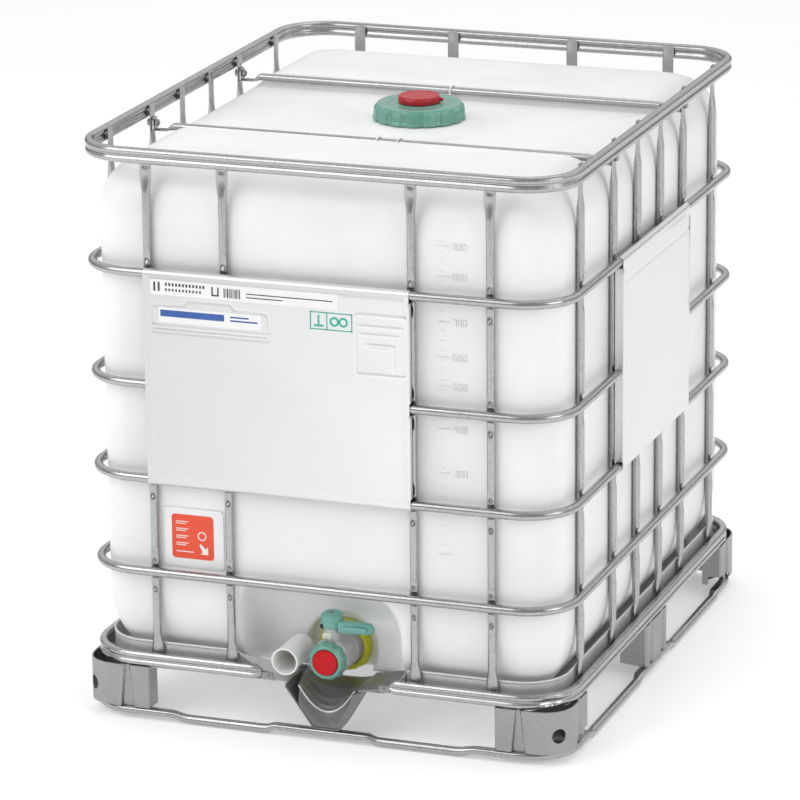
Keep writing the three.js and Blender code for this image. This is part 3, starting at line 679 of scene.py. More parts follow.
def make_cross_bars():
    """Both bars over the tank, each with a bolt through either end."""
    for place, y in (("front", -BAR_Y), ("rear", BAR_Y)):
        make_cross_bar(f"{place}_tank_bar", f"{place}_cross_bar", y)
        for side, sign in (("left", -1), ("right", 1)):
            make_bar_bolt(f"{place}_{side}_hex_bolt", f"{place}_{side}_bar_bolt", sign, y)


def make_bar_clips():
    """Small white straps that hold the cross bars down."""
    straps = []
    for x, y in ((0, -BAR_Y), (43, -BAR_Y), (-11, BAR_Y)):
        path = []
        for k in range(13):
            angle = math.radians(200 - 220 * k / 12)
            path.append((x + 3 * math.cos(angle), y + 9.6 * math.cos(angle), BAR_Z + 9.6 * math.sin(angle)))
        path = [(x - 4, y - 13, BAR_Z - 14)] + path + [(x + 4, y + 13, BAR_Z - 14)]
        straps.append(tube(path, 1.7, 10))
        straps.append(block((x - 4, y - 17, BAR_Z - 17), (x + 4, y - 10, BAR_Z - 8), 1.0))
    add_piece("white_bar_clips", merge(*straps), WHITE)


# --- Label plates ---

def roll_points(z, first, last, radius, count=8):
    points = []
    for degrees in spread(first, last, count):
        angle = math.radians(degrees)
        points.append((radius * math.cos(angle), z + radius * math.sin(angle)))
    return points


def plate_part(low_u, high_u, relief, step):
    """A sheet rolled round two rings. relief(u, v) is how far its face stands out."""
    radius = RING_RADIUS + 0.4
    low, high = RING_HEIGHTS[1], RING_HEIGHTS[3]
    us = np.linspace(low_u, high_u, round((high_u - low_u) / step) + 1)
    vs = np.linspace(low, high, round((high - low) / step) + 1)
    edge = np.minimum(smooth_step(low, low + 12, vs), smooth_step(high, high - 12, vs))
    heights = relief(us[None, :], vs[:, None]) * edge[:, None]
    rows = [[(u, out, v) for u in us] for out, v in roll_points(low, -80, -6, radius)]
    rows += [[(u, radius + h, v) for u, h in zip(us, line)] for v, line in zip(vs, heights)]
    rows += [[(u, out, v) for u in us] for out, v in roll_points(high, 6, 80, radius)]
    return skin(rows, closed_section=False)


def make_plate(name, node, part, place):
    obj = add_piece(name, moved(part, place), PLATE, replaces=[node], angle=60)
    thicken(obj, PLATE_SHEET, 1.0)
    shade(obj.data, 60)


def line_ridge(x, z, points, width):
    """1 on a bent line and 0 away from it."""
    nearest = np.full(np.broadcast(x, z).shape, 1e9)
    for (x0, z0), (x1, z1) in zip(points, points[1:]):
        span = (x1 - x0) ** 2 + (z1 - z0) ** 2
        t = np.clip(((x - x0) * (x1 - x0) + (z - z0) * (z1 - z0)) / span, 0, 1)
        nearest = np.minimum(nearest, np.hypot(x - x0 - t * (x1 - x0), z - z0 - t * (z1 - z0)))
    return np.exp(-(nearest / width) ** 2)


def closed_line(points, radius=4):
    line = fillet(points, radius, 4)
    return line + line[:1]


def front_relief(u, v):
    """Slow waves, a fold beside each edge, and the stamped lines of the front plate."""
    calm = 1 - smooth_step(700, 800, v)
    wave = calm * (0.9 * np.sin(u / 95.0) * np.sin(v / 110.0) + 0.5 * np.sin(u / 43.0 + v / 61.0))
    fold = 0.9 * smooth_step(-335, -331, u) - 0.9 * smooth_step(180, 184, u)
    slot = closed_line([(-327, 812), (-327, 848), (-262, 851, 3), (-255, 861, 3), (-167, 861, 3),
                        (-160, 851, 3), (-92, 849, 8), (-88, 812)])
    groove = closed_line([(-327, 803), (-90, 803), (-90, 796), (-327, 796)], 3)
    stamp = closed_line([(86, 748), (186, 748), (186, 864), (86, 864)], 5)
    lines = [(-1.3, slot, 1.9), (-1.2, groove, 1.6), (1.3, stamp, 1.9),
             (1.0, [(108, 806), (162, 806), (162, 758)], 1.8), (0.9, [(112, 800), (150, 800)], 1.6),
             (0.8, [(92, 842), (178, 842)], 1.8), (0.8, [(96, 826), (170, 826)], 1.8)]
    return wave + fold + sum(height * line_ridge(u, v, line, width) for height, line, width in lines)


def side_relief(u, v):
    wave = 1.0 * np.sin(u / 70.0) * np.sin(v / 110.0) + 0.5 * np.sin(u / 37.0 + v / 52.0)
    crease = -1.4 * line_ridge(u, v, [(-240, 866), (206, 866)], 2.6)
    border = 0.8 * smooth_step(-226, -220, u) - 0.8 * smooth_step(186, 192, u)
    return wave + crease + border


def fold_strip(name, line, low, high):
    """A folded edge of a plate, as a bent line on the ground plan between two heights."""
    section = sheet_outline(fillet(line, 2, 4, closed=False), PLATE_SHEET)
    rows = [[(x, y, z) for x, y in section] for z in spread(low, high, 24)]
    soften(add_piece(name, skin(rows), PLATE, angle=50), 0.3)


def make_plate_folds():
    out_x, out_y = CAGE_X + 12, CAGE_Y + 12
    fold_strip("side_plate_front_fold", [(out_x, -237), (out_x, -241.6), (CAGE_X - 6, -241.6)], 506, 894)
    fold_strip("side_plate_rear_fold", [(out_x, 203), (out_x, 207), (CAGE_X + 1, 207)], 700, 890)
    front = [(188, -out_y), (192.6, -out_y), (192.6, -CAGE_Y - 1)]
    fold_strip("front_plate_upper_fold", front, 697, 892)
    fold_strip("front_plate_lower_fold", front, 508, 673)


def make_label_plates():
    front = plate_part(-347, 191, front_relief, 2.0)
    make_plate("rolled_front_plate", "front_label_plate", front, lambda p: (p[0], -CAGE_Y - p[1], p[2]))
    side = plate_part(-240, 206, side_relief, 3.0)
    make_plate("rolled_side_plate", "side_label_plate", side, lambda p: (CAGE_X + p[1], p[0], p[2]))
    make_plate_folds()


# --- Labels: plain shapes, with no lettering ---

def front_patch(low, high, depth, thickness=0.4, corner=1.5):
    """A thin sticker on the front, from (x, z) corners, at a distance out from the ring's middle line."""
    outline = box_outline(low, high, corner, 4)
    return skin([[(x, -CAGE_Y - depth - out, z) for x, z in outline] for out in (0, thickness)])


def front_patches(boxes, depth, thickness, corner):
    """Stickers from rows of (low x, low z, high x, high z)."""
    return merge(*[front_patch(box[:2], box[2:], depth, thickness, corner) for box in boxes])


def make_front_labels():
    face = RING_RADIUS + 2.5
    add_piece("white_data_strip", front_patch((-330, 869), (51, 899), face, 0.5), PAPER)
    bars = [(-300 + 7 * k, 887.5, -296 + 7 * k, 893.5) for k in range(12)]
    bars += [(-300 + 7 * k, 877.5, -296.5 + 7 * k, 882.5) for k in range(11)]
    bars += [(-205, 877, -202, 893), (-205, 875, -190, 878), (-193, 877, -190, 893)]
    x = -180.0
    for width in (2.2, 1.0, 3.0, 1.4, 2.4, 1.0, 1.8, 2.8, 1.2, 2.2):
        bars.append((x, 874, x + width, 892))
        x += width + 1.6
    bars += [(-134, 884, 40, 886), (-134, 877, -60, 879)]
    bars += [(-324 + 9 * k, 876, -320 + 9 * k, 894) for k in range(2)]
    add_piece("data_strip_marks", front_patches(bars, face + 0.5, 0.15, 0.3), LABEL_INK)

    add_piece("white_card", front_patch((-315, 815), (-104, 845), face, 0.5, 3), PAPER)
    add_piece("blue_card_bar", front_patch((-311, 827), (-180, 840), face + 0.5, 0.2, 0.8), LABEL_BLUE)
    lines = [(-168, 828, -112, 831), (-168, 835, -130, 838)]
    add_piece("blue_card_lines", front_patches(lines, face + 0.5, 0.2, 0.4), LABEL_BLUE)

    rim = [(-6, 828, 79, 830), (-6, 861, 79, 863), (-6, 828, -4, 863), (77, 828, 79, 863), (27, 828, 29, 863)]
    ring = revolve([(5.5, 0), (9.5, 0), (9.5, 0.5), (5.5, 0.5)], 32)
    rings = [moved(ring, lambda p, x=x: (x + p[0], -CAGE_Y - face - p[2], 845.5 + p[1])) for x in (43, 61)]
    post = [(2, 834, 21, 838), (9.5, 838, 13, 857)]
    box = merge(front_patches(rim, face, 0.5, 0.5), *rings, front_patches(post, face, 0.5, 0.5))
    add_piece("green_mark_box", box, LABEL_GREEN)


def tank_patch(low, high, depth, thickness=0.5, corner=2):
    """A thin sticker on the tank's front wall."""
    patch = front_patch(low, high, 0, thickness, corner)
    return moved(patch, lambda p: (p[0], p[1] + CAGE_Y - TANK_Y - depth, p[2]))


def make_tank_labels():
    add_piece("label_backing_sheet", tank_patch((-328, 315), (-204, 435), 1.2, 0.5, 8), PAPER)
    add_piece("red_handling_label", tank_patch((-312, 333), (-225, 422), 1.9, 0.4, 7), LABEL_RED)
    lines = []
    for row in range(4):
        for k in range(2):
            z = 407 - 14.5 * row - 4 * k
            lines.append(tank_patch((-303, z), (-277 - 6 * k, z + 1.6), 2.4, 0.2, 0.4))
    lines.append(tank_patch((-303, 346), (-267, 347.8), 2.4, 0.2, 0.4))
    shaft = [(-255, 362), (-252, 365), (-242, 355), (-237, 360), (-237, 344), (-253, 344), (-248, 349)]
    y = -TANK_Y - 2.4
    arrow = skin([[(x, y - out, z) for x, z in shaft] for out in (0, 0.2)])
    ring = revolve([(7, 0), (9, 0), (9, 0.2), (7, 0.2)], 32)
    dial = moved(ring, lambda p: (-249 + p[0], y - p[2], 381 + p[1]))
    add_piece("red_label_marks", merge(*lines, arrow, dial), PAPER)
    add_piece("small_white_sticker", tank_patch((209, 653), (225, 669), 0.6, 0.4, 1), PAPER)


# --- Tank ---

def tank_inset(z):
    """How far the wall has drawn in at a height, in the round bottom and the round top."""
    if z < LOW_ROUND:
        return 80 * (1 - math.sqrt(max(0.0, 1 - ((LOW_ROUND - z) / (LOW_ROUND - TANK_LOW)) ** 2)))
    if z > HIGH_ROUND:
        return 88 * (1 - math.sqrt(max(0.0, 1 - ((z - HIGH_ROUND) / (TANK_TOP - HIGH_ROUND)) ** 2)))
    return 0.0


def tank_shell():
    """The blown body before its recesses are cut."""
    turns = [math.radians(degrees) for degrees in range(0, 91, 6)]
    low = [TANK_LOW + (LOW_ROUND - TANK_LOW) * (1 - math.cos(a)) for a in turns]
    high = [HIGH_ROUND + (TANK_TOP - HIGH_ROUND) * math.sin(a) for a in turns]
    sections = []
    for z in low + spread(LOW_ROUND + 14, HIGH_ROUND - 12, 20) + high:
        inset = tank_inset(z)
        path = rounded_path(TANK_X - inset, TANK_Y - inset, max(TANK_CORNER - inset * 0.35, 40), 12)
        sections.append([(x, y, z) for x, y, nx, ny in path])
    return skin(sections)


def valley_cutter():
    outline = [(-VALLEY_HALF - 16, TANK_TOP + 30, 0), (-VALLEY_HALF - 8, TANK_TOP + 4, 10),
               (-VALLEY_HALF + 2, VALLEY_FLOOR, 8), (VALLEY_HALF - 2, VALLEY_FLOOR, 8),
               (VALLEY_HALF + 8, TANK_TOP + 4, 10), (VALLEY_HALF + 16, TANK_TOP + 30, 0)]
    points = fillet(outline, 8, 5)
    return skin([[(x, y, z) for y, z in points] for x in (-700, 700)])


def recess_cutter():
    left, right = RECESS_X - RECESS_HALF, RECESS_X + RECESS_HALF
    outline = [(left, -60, 0), (right, -60, 0), (right, RECESS_TOP, 112), (left, RECESS_TOP, 56)]
    points = fillet(outline, 30, 10)
    rows = []
    for y, grow in ((-700, 150), (-TANK_Y + 12, 0), (RECESS_BACK - 14, -2), (RECESS_BACK, -14)):
        rows.append([(RECESS_X + (x - RECESS_X) * (1 + grow / RECESS_HALF), y, z + grow * 0.6)
                     for x, z in points])
    return skin(rows)


def well_cutter():
    rows = []
    for y, r in ((-700, 76), (RECESS_BACK - 6, 76), (RECESS_BACK + 4, 72), (-452, 70)):
        rows.append([(VALVE_X + a, y, VALVE_Z + b) for a, b in circle(r, 48)])
    return skin(rows)


def make_tank():
    obj = new_object("blown_tank_body", tank_shell(), clean=False)
    carve(obj, [valley_cutter(), recess_cutter(), well_cutter()])
    boss = [(0.1, 1060), (150, 1082), (122, 1089), (108, 1095), (97, 1100.4), (0.1, 1100.4)]
    carve(obj, [revolve(boss, 64, closed=False)], "UNION")
    carve(obj, [skin([[(a, b, z) for a, b in circle(75, 64)] for z in (1070, 1120)])])
    remesh = obj.modifiers.new("remesh", "REMESH")
    remesh.mode = "VOXEL"
    remesh.voxel_size = 0.0055
    relax = obj.modifiers.new("relax", "SMOOTH")
    relax.factor = 0.5
    relax.iterations = 4
    apply_modifiers(obj)
    obj.data.materials.clear()
    obj.data.materials.append(TANK[0])
    obj.data.polygons.foreach_set("use_smooth", [True] * len(obj.data.polygons))
    tie(obj, BASE, ["tank"])
    make_tank_neck()
    make_tank_scale()


def make_tank_neck():
    profile = [(72, 1080), (72, 1123, 1), (76, 1123, 1.5), (76, 1118, 0.5), (78.2, 1116.5, 1),
               (76, 1115, 0.5), (76, 1111, 0.5), (78.2, 1109.5, 1), (76, 1108, 0.5), (76, 1102, 1),
               (76.5, 1096, 3), (80, 1094, 2), (80, VALLEY_FLOOR, 0)]
    add_piece("threaded_tank_neck", revolve(lathe_profile(profile), 96), TANK)
    stub = fillet([(25.2, -455), (33.8, -455), (33.8, -461.5, 1), (25.2, -461.5, 1)], 0.6, 3)
    add_piece("tank_outlet_stub", valve_lathe(stub, 64), TANK)


# The strokes of each figure, named as in digit_strokes.
STROKES = {"0": "abcdef", "2": "abged", "3": "abgcd", "4": "fgbc", "5": "afgcd",
           "6": "afgedc", "7": "abc", "8": "abcdefg", "9": "abcdfg"}


def digit_strokes(digit, x, z, size):
    """Low raised strokes that draw one figure, from its lower left corner."""
    w, h = size * 0.55, size
    ends = {"a": ((0, h), (w, h)), "b": ((w, h / 2), (w, h)), "c": ((w, 0), (w, h / 2)),
            "d": ((0, 0), (w, 0)), "e": ((0, 0), (0, h / 2)), "f": ((0, h / 2), (0, h)),
            "g": ((0, h / 2), (w, h / 2))}
    t = size * 0.09
    strokes = []
    for name in STROKES[digit]:
        (x0, z0), (x1, z1) = ends[name]
        strokes.append(tank_patch((x + x0 - t, z + z0 - t), (x + x1 + t, z + z1 + t), 0.2, 0.8, t))
    return strokes


def make_tank_scale():
    """A filling scale in the middle of a front panel: long and short ticks with plain figures."""
    heights = [(395, ""), (480, "2"), (557, "3"), (644, "4"), (728, "5"), (785, "6"), (853, "7"),
               (942, "8"), (1000, "9")]
    parts = []
    for z, figure in heights:
        parts.append(tank_patch((236, z), (262, z + 2.2), 0.2, 0.8, 1))
        if figure:
            for k, digit in enumerate(figure + "00"):
                parts += digit_strokes(digit, 268 + 10 * k, z - 4, 11)
    for k in range(33):
        z = 395 + 19.2 * k
        parts.append(tank_patch((242, z), (252, z + 1.4), 0.2, 0.6, 0.7))
    add_piece("moulded_filling_scale", merge(*parts), TANK)


# --- Lid ---

def wide_teeth(count, share, soft):
    """A function of angle that is 1 on a tooth and 0 in a gap, with soft flanks."""
    def value(angle):
        near = abs(angle * count / (2 * math.pi) % 1.0 - 0.5)
        return 1 - ease(share / 2 - soft, share / 2 + soft, near)
    return value


def make_lid():
    tooth = wide_teeth(LID_RIBS, 0.62, 0.07)

    def shape(angle, radius, z):
        if radius < 84 or z > LID_TOP - 3:
            return radius
        return radius + 3.4 * tooth(angle) * ease(LID_TOP - 3, LID_TOP - 9, z)

    profile = [(28.8, LID_ROOF), (77.5, LID_ROOF, 1), (79, LID_ROOF - 2, 1), (79, LID_LOW, 1),
               (89.4, LID_LOW, 1.5), (89.0, LID_LOW + 4, 2), (87.6, LID_LOW + 8, 4), (86.6, LID_TOP - 8, 5),
               (85.6, LID_TOP - 4, 3), (83.0, LID_TOP, 2), (62, LID_TOP - 0.4, 1), (60, LID_TOP - 1.6, 1),
               (47, LID_TOP - 1.6, 1), (45, LID_TOP - 0.4, 1), (28.8, LID_TOP - 0.4, 1)]
    part = revolve(lathe_profile(profile), 480, shape)
    add_piece("ribbed_screw_lid", part, GREEN, "lid_body", ["fill_lid"], angle=50)


def make_vent_plug():
    profile = [(0.1, -15), (26.5, -15, 1.5), (28, -12, 1), (28, 3.6, 0.5), (37.5, 3.6, 0.5), (37.5, 0.8, 0.5),
               (41.6, 0.8, 1), (42, 9, 1), (39.6, 15, 2.5), (34.5, 15, 0.8), (33.5, 14.1, 0.8), (12, 14.1, 1),
               (11, 14.7, 0.8), (0.1, 14.7)]
    body = revolve(lathe_profile(profile, LID_TOP), 96, closed=False)
    turn = Matrix.Rotation(0.25, 3, "Z")
    tab = moved(block((40, -5, LID_TOP + 3), (48, 5, LID_TOP + 9), 1.0), lambda p: turn @ Vector(p))
    add_piece("red_vent_plug", merge(body, tab), RED, "vent_plug_body", ["vent_plug"], angle=45)


# --- Outlet valve ---

def valve_lathe(profile, sides=64, shape=None, closed=True):
    """Turns a profile of (radius, y) about the valve's axis."""
    ring = revolve(profile, sides, shape, closed)
    return moved(ring, lambda p: (VALVE_X + p[0], p[2], VALVE_Z + p[1]))


def round_valve(part, first_turn):
    """Four copies of a part that is drawn beside the origin, a quarter turn apart about the valve's axis."""
    copies = []
    for quarter in range(4):
        turn = Matrix.Rotation(math.radians(first_turn + 90 * quarter), 3, "Y")
        copies.append(moved(part, lambda p, turn=turn: turn @ Vector(p) + Vector((VALVE_X, 0, VALVE_Z))))
    return merge(*copies)


def make_valve_body():
    profile = [(34.6, -453.5), (44, -453.5, 1), (44, -461, 1.5), (40.5, -464, 1), (40, -469, 2),
               (36.5, -473, 2), (36, -488, 1), (39, -489.5, 0.8), (39, -493.5, 0.8), (36, -495, 1),
               (35.4, -541, 1), (37.5, -543, 1), (37.5, -546, 0.8), (35, -547.5, 1), (34.5, -551, 1),
               (31, -553, 1), (31, -569, 1), (25, -569, 1), (25, -462.3, 0)]
    barrel = valve_lathe(lathe_profile(profile), 80)
    boss = [(6.2, 25), (16.5, 25), (16.5, 52, 1), (15, 54, 1), (15, 60.4, 1), (6.2, 60.4, 0.5)]
    neck = moved(revolve(lathe_profile(boss), 48), lambda p: (VALVE_X + p[0], STEM_Y + p[1], VALVE_Z + p[2]))
    ribs = round_valve(block((-1.6, -540, 34), (1.6, -497, 37.6), 0.6), 45)
    stop = block((VALVE_X - 5, STEM_Y + 13, VALVE_Z + 34), (VALVE_X + 5, STEM_Y + 19, VALVE_Z + 49), 0.8)
    add_piece("moulded_valve_body", merge(barrel, neck, ribs, stop), GREY, replaces=["valve_body"])


def make_lock_ring():
    tooth = wide_teeth(24, 0.5, 0.12)

    def shape(angle, radius, y):
        return radius + (1.2 * tooth(angle) if radius > 50 else 0)

    profile = [(44.5, -453.2), (51, -453.2, 1.5), (52, -456, 1), (52, -464, 2), (48.5, -471, 2),
               (42, -474, 1), (41.2, -472, 0.5), (44.5, -466, 0.5)]
    ring = valve_lathe(lathe_profile(profile), 240, shape)
    lugs = round_valve(block((50, -465, -6), (55, -454.4, 6), 1.0), 40)
    add_piece("lime_lock_ring", merge(ring, lugs), LIME, replaces=["valve_lock_ring"], angle=45)


def make_lever():
    """A tall cup-shaped hub with a thick grip on its front, shut towards +X."""
    def at(p):
        return (VALVE_X + p[0], STEM_Y + p[1], HUB_LOW + p[2])

    tooth = wide_teeth(8, 0.7, 0.1)

    def shape(angle, radius, z):
        return radius + (0.9 * tooth(angle) if radius > 19 and 2 < z < 26 else 0)

    cup = [(5.8, 0.4), (20.2, 0.4, 1), (21, 4, 1), (20.4, 26, 4), (16, 30, 3), (6.2, 29.6, 0.8),
           (5.8, 27, 0.5)]
    hub = revolve(fillet(cup, 1, 4), 96, shape)
    sections = []
    for x in spread(17.5, 88, 28):
        t = (x - 17.5) / 70.5
        end = ease(0.8, 1.0, t) ** 2
        middle = -6.0 + 4.0 * t
        half = 9.5 - 1.6 * t - 5.5 * end
        high = 15.4 - 2.0 * t ** 2 - 6.0 * end
        low = -7.6 + 0.8 * t + 5.0 * end
        outline = fillet([(middle - half, low, 3.5), (middle + half, low, 3.5), (middle + half, high, 4.5),
                          (middle - half, high, 4.5)], 3, 6)
        sections.append([(x, a, b) for a, b in outline])
    rib = block((28, -16.6, -1), (76, -13.2, 8), 1.0)
    catch = block((17.6, -9, -8.2), (24, 0, -2), 1.4)
    lever = moved(merge(hub, skin(sections), rib, catch), at)
    add_piece("green_valve_lever", lever, LEVER, "valve_lever_body", ["valve_lever"], angle=45)
    cap = fillet([(0.1, 26.5), (5, 26.5, 0.6), (5, 29.8, 1.2), (2.4, 30.4, 0.4), (2.0, 28.8, 0.3),
                  (0.1, 28.8)], 0.5, 3)
    head = revolve(cap, 40, closed=False)
    shank = revolve([(0.1, 9), (2.2, 9), (2.2, 27), (0.1, 27)], 20, closed=False)
    add_piece("lever_cap_screw", moved(merge(head, shank), at), DARK, "valve_lever_body", ["lever_screw"])
    eye = fillet([(1.8, 14), (4.4, 14, 0.8), (4.4, 18, 1.2), (1.8, 18, 0.5)], 0.5, 3)
    ring = moved(revolve(eye, 32), lambda p: (p[0] - 14.5, -p[2], p[1] + 4.2))
    add_piece("black_seal_eyelet", moved(ring, at), RUBBER, "valve_lever_body")


def make_outlet_cap():
    """The nut and the disc it holds, both measured back from the nut's front."""
    tooth = wide_teeth(12, 0.42, 0.1)

    def shape(angle, radius, y):
        grip = ease(NUT_FRONT + 1, NUT_FRONT + 11, y) * ease(33, 35, radius)
        return radius + 2.9 * tooth(angle) * grip

    nut = lathe_profile([(31.4, 22), (36, 22, 1), (36, 12, 1), (34.8, 5, 3), (31.8, 0.6, 2.5), (27.4, 0, 1),
                         (26.2, 1, 0.6), (26.2, 3, 0.4), (31.4, 3, 0.5)], NUT_FRONT)
    add_piece("ribbed_outlet_nut", valve_lathe(nut, 360, shape), GREEN, "outlet_nut_body",
              ["outlet_nut"], angle=45)
    disc = lathe_profile([(0.1, 4.7), (30.5, 4.7, 0.3), (30.5, 3.3, 0.3), (25.4, 3.3, 0.3), (25.2, -1.6, 1),
                          (23.8, -3.4, 0.8), (20.5, -3.4, 0.8), (19.6, -2.4, 0.8), (8, -2.4, 0.8),
                          (7, -3, 0.6), (0.1, -3)], NUT_FRONT)
    add_piece("red_outlet_disc", valve_lathe(disc, 96, closed=False), DEEP_RED, "outlet_cap_body",
              ["outlet_cap_disc"], angle=45)


def make_tamper_tag():
    low, high = VALVE_Z + 40.5, HUB_LOW - 8.5
    corners = [(-13, low, 2), (3, low, 2), (4, high - 3, 2), (1, high, 3), (-11, high, 3), (-14, high - 3, 2)]
    outline = [(VALVE_X + x, z) for x, z in fillet(corners, 2, 5)]
    parts = [skin([[(x, STEM_Y - out, z) for x, z in outline] for out in (15.4, 18.2)])]
    for x in (VALVE_X - 11, VALVE_X - 7, VALVE_X - 3):
        parts.append(block((x, STEM_Y - 19.0, low + 2), (x + 2, STEM_Y - 18, high - 2), 0.4))
    add_piece("cream_tamper_tag", merge(*parts), CREAM, replaces=["tamper_tag"])


def make_spout():
    profile = [(23.5, 486), (26, 486, 1), (26, 575, 1), (27.5, 577, 1), (27.5, 585, 1.8), (23.8, 585, 1.4)]
    threads = []
    for k in range(4):
        y = 492 + 5 * k
        threads += [(26, y, 0.5), (27.2, y + 1.2, 0.6), (26, y + 2.4, 0.5)]
    profile = profile[:2] + threads + profile[2:]
    ring = revolve(lathe_profile(profile), 80)
    part = moved(ring, lambda p: (SPOUT_X + p[0], -p[2], SPOUT_Z + p[1]))
    add_piece("white_pour_spout", part, WHITE, "pour_spout_body", ["pour_spout"], angle=45)


# --- Pallet ---

def runner_flatness(x, y):
    """How far the runner's tube is pressed flat: at the corners and where the middle feet stand."""
    if abs(abs(x) - RUNNER_X) < 1:
        return max(ease(418, 440, abs(y)), ease(117, 95, abs(y)))
    if abs(abs(y) - RUNNER_Y) < 1:
        return max(ease(276, 318, abs(x)), ease(117, 95, abs(x)))
    return 1.0


def make_runner():
    path = split_long(rounded_path(RUNNER_X, RUNNER_Y, RUNNER_CORNER, 14), 9)

    def profile(x, y):
        flat = runner_flatness(x, y)
        points = []
        for c, s in circle(1, 24):
            out = (abs(c) ** (1 - 0.3 * flat)) * math.copysign(9 + 1.5 * flat, c) - 1.5 * flat
            up = (abs(s) ** (1 - 0.4 * flat)) * math.copysign(9 - 2 * flat, s)
            points.append((out, 9 + 6.5 * flat + up))
        return points

    add_piece("pressed_runner_frame", along_path(path, profile), TUBE, replaces=["runner_frame"], angle=60)


def foot_plan():
    """The corner foot's plan line, from the front's inner flange round to the side's inner flange."""
    corners = [(356, FOOT_Y - 40, 0), (356, FOOT_Y, 5), (FOOT_X, FOOT_Y, 78), (FOOT_X, 456, 5),
               (FOOT_X - 40, 456, 0)]
    return fillet(corners, 6, 14, closed=False)


def groove_depth(x, y, z):
    """How far the front and side faces are pressed in by a V groove that opens downwards."""
    t = (FOOT_TOP - z) / (FOOT_TOP - FOOT_LOW)
    half = 4.5 + 8.5 * t
    depth = 0.0
    for away, across in ((x - 403.5, y - FOOT_Y), (y - 503.5, x - FOOT_X)):
        if abs(across) <= 1:
            depth = max(depth, (4.5 + 3.5 * t) * (1 - ease(half - 1.5, half + 1.5, abs(away))))
    return depth


def resample(points, step):
    result = [points[0]]
    for a, b in zip(points, points[1:]):
        count = max(1, math.ceil(math.dist(a, b) / step))
        for k in range(1, count + 1):
            result.append(tuple(a[j] + (b[j] - a[j]) * k / count for j in range(2)))
    return result


def foot_lower_edge(x, y):
    """The side face's lower edge steps up twice towards the middle of the side."""
    if x < 470 or y > 545:
        return FOOT_LOW
    return FOOT_LOW + 9 * ease(526, 521, y) + 10 * ease(482, 477, y)


def add_foot(node, rows, outward):
    """A pressed foot, with its sheet inside the drawn face."""
    name = f"pressed_{node}"
    obj = add_piece(name, skin(rows, closed_section=False), SHEET, replaces=[node], angle=50)
    middle = obj.data.polygons[len(obj.data.polygons) // 2]
    thicken(obj, FOOT_SHEET, -1.0 if middle.normal.dot(outward) > 0 else 1.0)
    return obj


def make_corner_foot(node, sign_x, sign_y):
    line = resample(foot_plan(), 2.0)
    rows = []
    for t in spread(0, 1, 36):
        row = []
        for x, y in line:
            low = foot_lower_edge(x, y)
            z = low + (FOOT_TOP - low) * t
            press = groove_depth(x, y, z)
            inward_x = press if abs(x - FOOT_X) < 1 else 0
            inward_y = press + 1.3 * math.exp(-((x - 441) / 2.2) ** 2) if abs(y - FOOT_Y) < 1 else 0
            row.append(((x - inward_x) * sign_x, (y - inward_y) * sign_y, z))
        rows.append(row)
    away = Vector((sign_x, sign_y, 0)).normalized()
    obj = add_foot(node, rows, away)
    centre = Vector(((FOOT_X - 24) * sign_x, (FOOT_Y - 24) * sign_y, 60))
    carve(obj, [tube([centre - away * 14, centre + away * 14], 14.5, 40)])
    soften(obj, 0.5)
    # The inner sheet, seen through the hole, wears the darker copy of the pallet steel: painted shade.
    inner = fillet([(372, 560), (418, 584), (484, 518), (460, 472)], 12, 5, closed=False)
    section = [(x * sign_x, y * sign_y) for x, y in sheet_outline(inner, 2.5)]
    sheet = skin([[(x, y, z) for x, y in section] for z in (FOOT_LOW + 4, FOOT_TOP - 5)])
    soften(add_piece(f"pressed_{node}_inner_sheet", sheet, TROUGH_PAINTED_SHADE, angle=50), 0.4)


def make_middle_foot(node, face, turn):
    """A pressed channel that opens inwards, drawn facing +X and then turned."""
    corners = [(face - 60, -58, 0), (face, -72, 8), (face, 72, 8), (face - 60, 58, 0)]
    line = resample(fillet(corners, 8, 6, closed=False), 4)
    rotate = Matrix.Rotation(turn, 3, "Z")
    rows = []
    for z in spread(FOOT_LOW, FOOT_TOP, 26):
        half = 5 + 5 * (FOOT_TOP - z) / (FOOT_TOP - FOOT_LOW)
        row = []
        for x, y in line:
            press = 0.0
            if abs(x - face) < 1:
                press = 4.0 * (1 - ease(half - 3, half + 2, abs(abs(y) - 38)))
            row.append(rotate @ Vector((x - press, y, z)))
        rows.append(row)
    soften(add_foot(node, rows, rotate @ Vector((1, 0, 0))), 0.5)


def dish_point(across, t):
    """A point on the drip tray: across runs from -1 to 1 and t from the front to the back."""
    middle, half = 11 - 5 * t, 58 + 24 * t
    floor = 57 + 33 * t + 3.0 * (bell(t, 0.13, 0.06) + bell(t, 0.33, 0.06) + bell(t, 0.56, 0.07))
    height = floor + (105.6 - floor) * abs(across) ** (2.0 + t)
    return middle + half * across, TRAY_FRONT + 116 * t, height


def channel_floor(x):
    """Height of the channel's inside at a place across it."""
    rise = max(0.0, (-14 - x) / 56, (x - 40) / 32)
    return 26.4 + 78.4 * min(rise, 1.0)


def make_trough():
    """A V-shaped channel with curved ends."""
    line = resample(fillet(TROUGH_BEND, 8, 6, closed=False), 4)
    rows = []
    for t in spread(0, 1, 14):
        row = []
        for x, z in line:
            reach = 10 + 118 * (max(z - 24, 0) / 80) ** 0.6
            set_back = 26 * max(ease(-70, -80, x), ease(72, 82, x))
            row.append((x, -FOOT_Y + set_back + (reach - set_back) * t, z))
        rows.append(row)
    # The channel wears the darker copy of the pallet steel: painted shade.
    soften(add_sheet("valve_drip_channel", rows, TROUGH_PAINTED_SHADE, 3, replaces=["valve_trough"]), 0.5)


